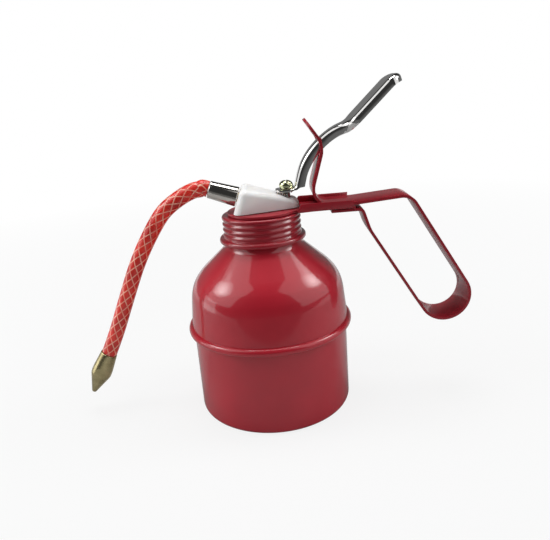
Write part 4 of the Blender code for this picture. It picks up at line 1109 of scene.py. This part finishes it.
# %% Lever pressing
LEVER_T = 0.9 * MM
FLANGE, FOLD = 4.2 * MM, 2.1 * MM
FLANGE_SLANT = (-1, 0, -0.35)
PAD_FLANGE_LESS = 0.6 * MM
slices(blank, [fold_start])
hem = [e for e in blank.edges if e.is_boundary and min(v.co.x for v in e.verts) > fold_start - 0.01 * MM]
grown = bmesh.ops.extrude_edge_only(blank, edges=hem)["geom"]
move(blank, (0, 0, -FLANGE), new_verts(grown))
bevel(blank, hem, FOLD, 8)
flange = [f for f in blank.faces if max(v.co.z for v in f.verts) < -2.0 * MM]
flange_geom = list(dict.fromkeys(item for f in flange for item in (f, *f.edges, *f.verts)))
bmesh.ops.bisect_plane(blank, geom=flange_geom, dist=1e-7, plane_co=(fold_start, 0, -FOLD),
                       plane_no=FLANGE_SLANT, clear_outer=True)
slices(blank, every(0.7 * MM, tip))
for vert in blank.verts:
    if vert.co.z < -4.1 * MM:
        vert.co.z += PAD_FLANGE_LESS * ease((vert.co.x - shoulder) / (flared - shoulder))
lever_line.form(blank)
face_out(blank)
turn_over(blank, min(blank.faces, key=lambda f: f.calc_center_median().x).normal.z < 0)
lever = keep("thumb_lever", blank, lever_chrome, "lever", ["lever"], 50.0)
give_wall(lever, LEVER_T)
cut(lever, rod(2.9 * MM, TONGUE_TOP - 3 * MM, TONGUE_TOP + 2 * MM, PUMP_X))
soften(lever, 0.14 * MM, 50.0)

# %% [markdown]
# ## Floor and light
#
# The can stands on a pale table under two large soft boxes, one on each side, as in a small
# product studio. They leave a darker band down the middle of the shoulder. Plated parts need
# dark things to reflect as well as bright ones, so the table is white for the camera and dim
# for mirror rays near the can.

# %% Table
TABLE = 1.5
TABLE_FRONT = -0.20
WHITE = colour(1.0, 1.0, 1.0)
table_bm = bmesh.new()
bmesh.ops.create_grid(table_bm, x_segments=1, y_segments=1, size=TABLE)
move(table_bm, (0, TABLE + TABLE_FRONT, 0))
table = to_object("table", table_bm)

paper = Finish("paper", Roughness=0.9)
seen_by_camera = paper.node("LightPath", output="Is Camera Ray")
seen_in_mirror = paper.node("LightPath", output="Is Glossy Ray")
paper.set(Base_Color=paper.blend(seen_in_mirror, colour(0.56, 0.57, 0.57), colour(0.34, 0.34, 0.34)))
across, deep = paper.part(paper.place(), 0), paper.part(paper.place(), 1)
away = (across * across + deep * deep).math("SQRT")
shown = (seen_by_camera * paper.spread(away, 0.15, 0.6, 0.84, 1.0)
         + seen_in_mirror * paper.spread(away, 0.25, 0.50, 0.0, 0.85))
both = paper.node("MixShader", {0: shown, 1: Value(paper.tree, paper.shader.outputs[0]),
                                2: paper.node("Emission", {"Color": WHITE})})
feed(paper.tree, paper.tree.nodes["Material Output"].inputs["Surface"], both)
table.data.materials.append(paper.material)

# %% [markdown]
# The world is what no lamp or table covers. Camera rays see it white, and soft light comes
# from it at about a fifth of that. Mirror rays find it almost dark in front, where the
# photographer stands, and grey behind the can, where the backdrop hangs.

# %% World
ROOM, IN_MIRROR, BACKDROP, FRONT_FLOOR = 0.18, 0.04, 0.16, 0.12
world = bpy.data.worlds.new("studio")
bpy.context.scene.world = world
world.use_nodes = True
sky = Shader(world.node_tree)
camera_ray = sky.node("LightPath", output="Is Camera Ray")
mirror_ray = sky.node("LightPath", output="Is Glossy Ray")
direction = sky.node("TexCoord", output="Generated")
backward, upward = sky.part(direction, 1), sky.part(direction, 2)
backdrop = sky.spread(backward, -0.3, 0.6) * sky.spread(upward, 0.30, 0.50, 1.0, 0.0)
in_mirror = backdrop * BACKDROP + sky.spread(upward, -0.24, 0.0, FRONT_FLOOR, 0.0) + IN_MIRROR
background = sky.tree.nodes["Background"]
feed(sky.tree, background.inputs["Strength"],
     camera_ray * (1.0 - ROOM) + mirror_ray * (in_mirror - ROOM) + ROOM)
background.inputs["Color"].default_value = WHITE

# %% [markdown]
# A soft box is an area lamp that faces the can. Its place is given as a photographer says it:
# degrees round, degrees up, and how far away. Four discs in front of each other, each smaller
# than the last, make the soft-edged hot centre where the bulb is behind the cloth.

# %% Soft boxes
AIM = Vector((0, 0, 60 * MM))
HOT_CENTRES = (0.34, 0.26, 0.18, 0.10)


def softbox(name, azimuth, height, distance, size, brightness, shape="RECTANGLE"):
    """Area lamp facing the can. Its brightness is that of the white it shows in a mirror."""
    turned, raised = math.radians(azimuth), math.radians(height)
    toward = Vector((math.sin(turned) * math.cos(raised), -math.cos(turned) * math.cos(raised),
                     math.sin(raised)))
    lamp = bpy.data.lights.new(name, "AREA")
    lamp.shape = shape
    lamp.size, lamp.size_y = size
    area = size[0] * size[1] * (math.pi / 4 if shape == "DISK" else 1)
    lamp.energy = brightness * math.pi * area
    facing = toward.to_track_quat("Z", "Y").to_matrix().to_4x4()
    stand(name, lamp).matrix_world = Matrix.Translation(AIM + toward * distance) @ facing


softbox("left_box", -78, 38, 0.70, (0.62, 0.80), 1.2)
softbox("right_box", 74, 34, 0.70, (0.80, 0.90), 1.05)
for ring, wide in enumerate(HOT_CENTRES):
    nearer = 0.66 - 0.01 * ring
    softbox(f"left_lamp_{ring}", -88, 37, nearer, (wide, wide), 2.0, "DISK")
    softbox(f"right_lamp_{ring}", 94, 38, nearer, (wide, wide), 2.0, "DISK")
softbox("top_box", 180, 79, 0.80, (0.50, 0.34), 6.2)
softbox("nozzle_card", -91, 1, 0.36, (0.16, 0.14), 1.5)
print("lamps:", len(bpy.data.lights))
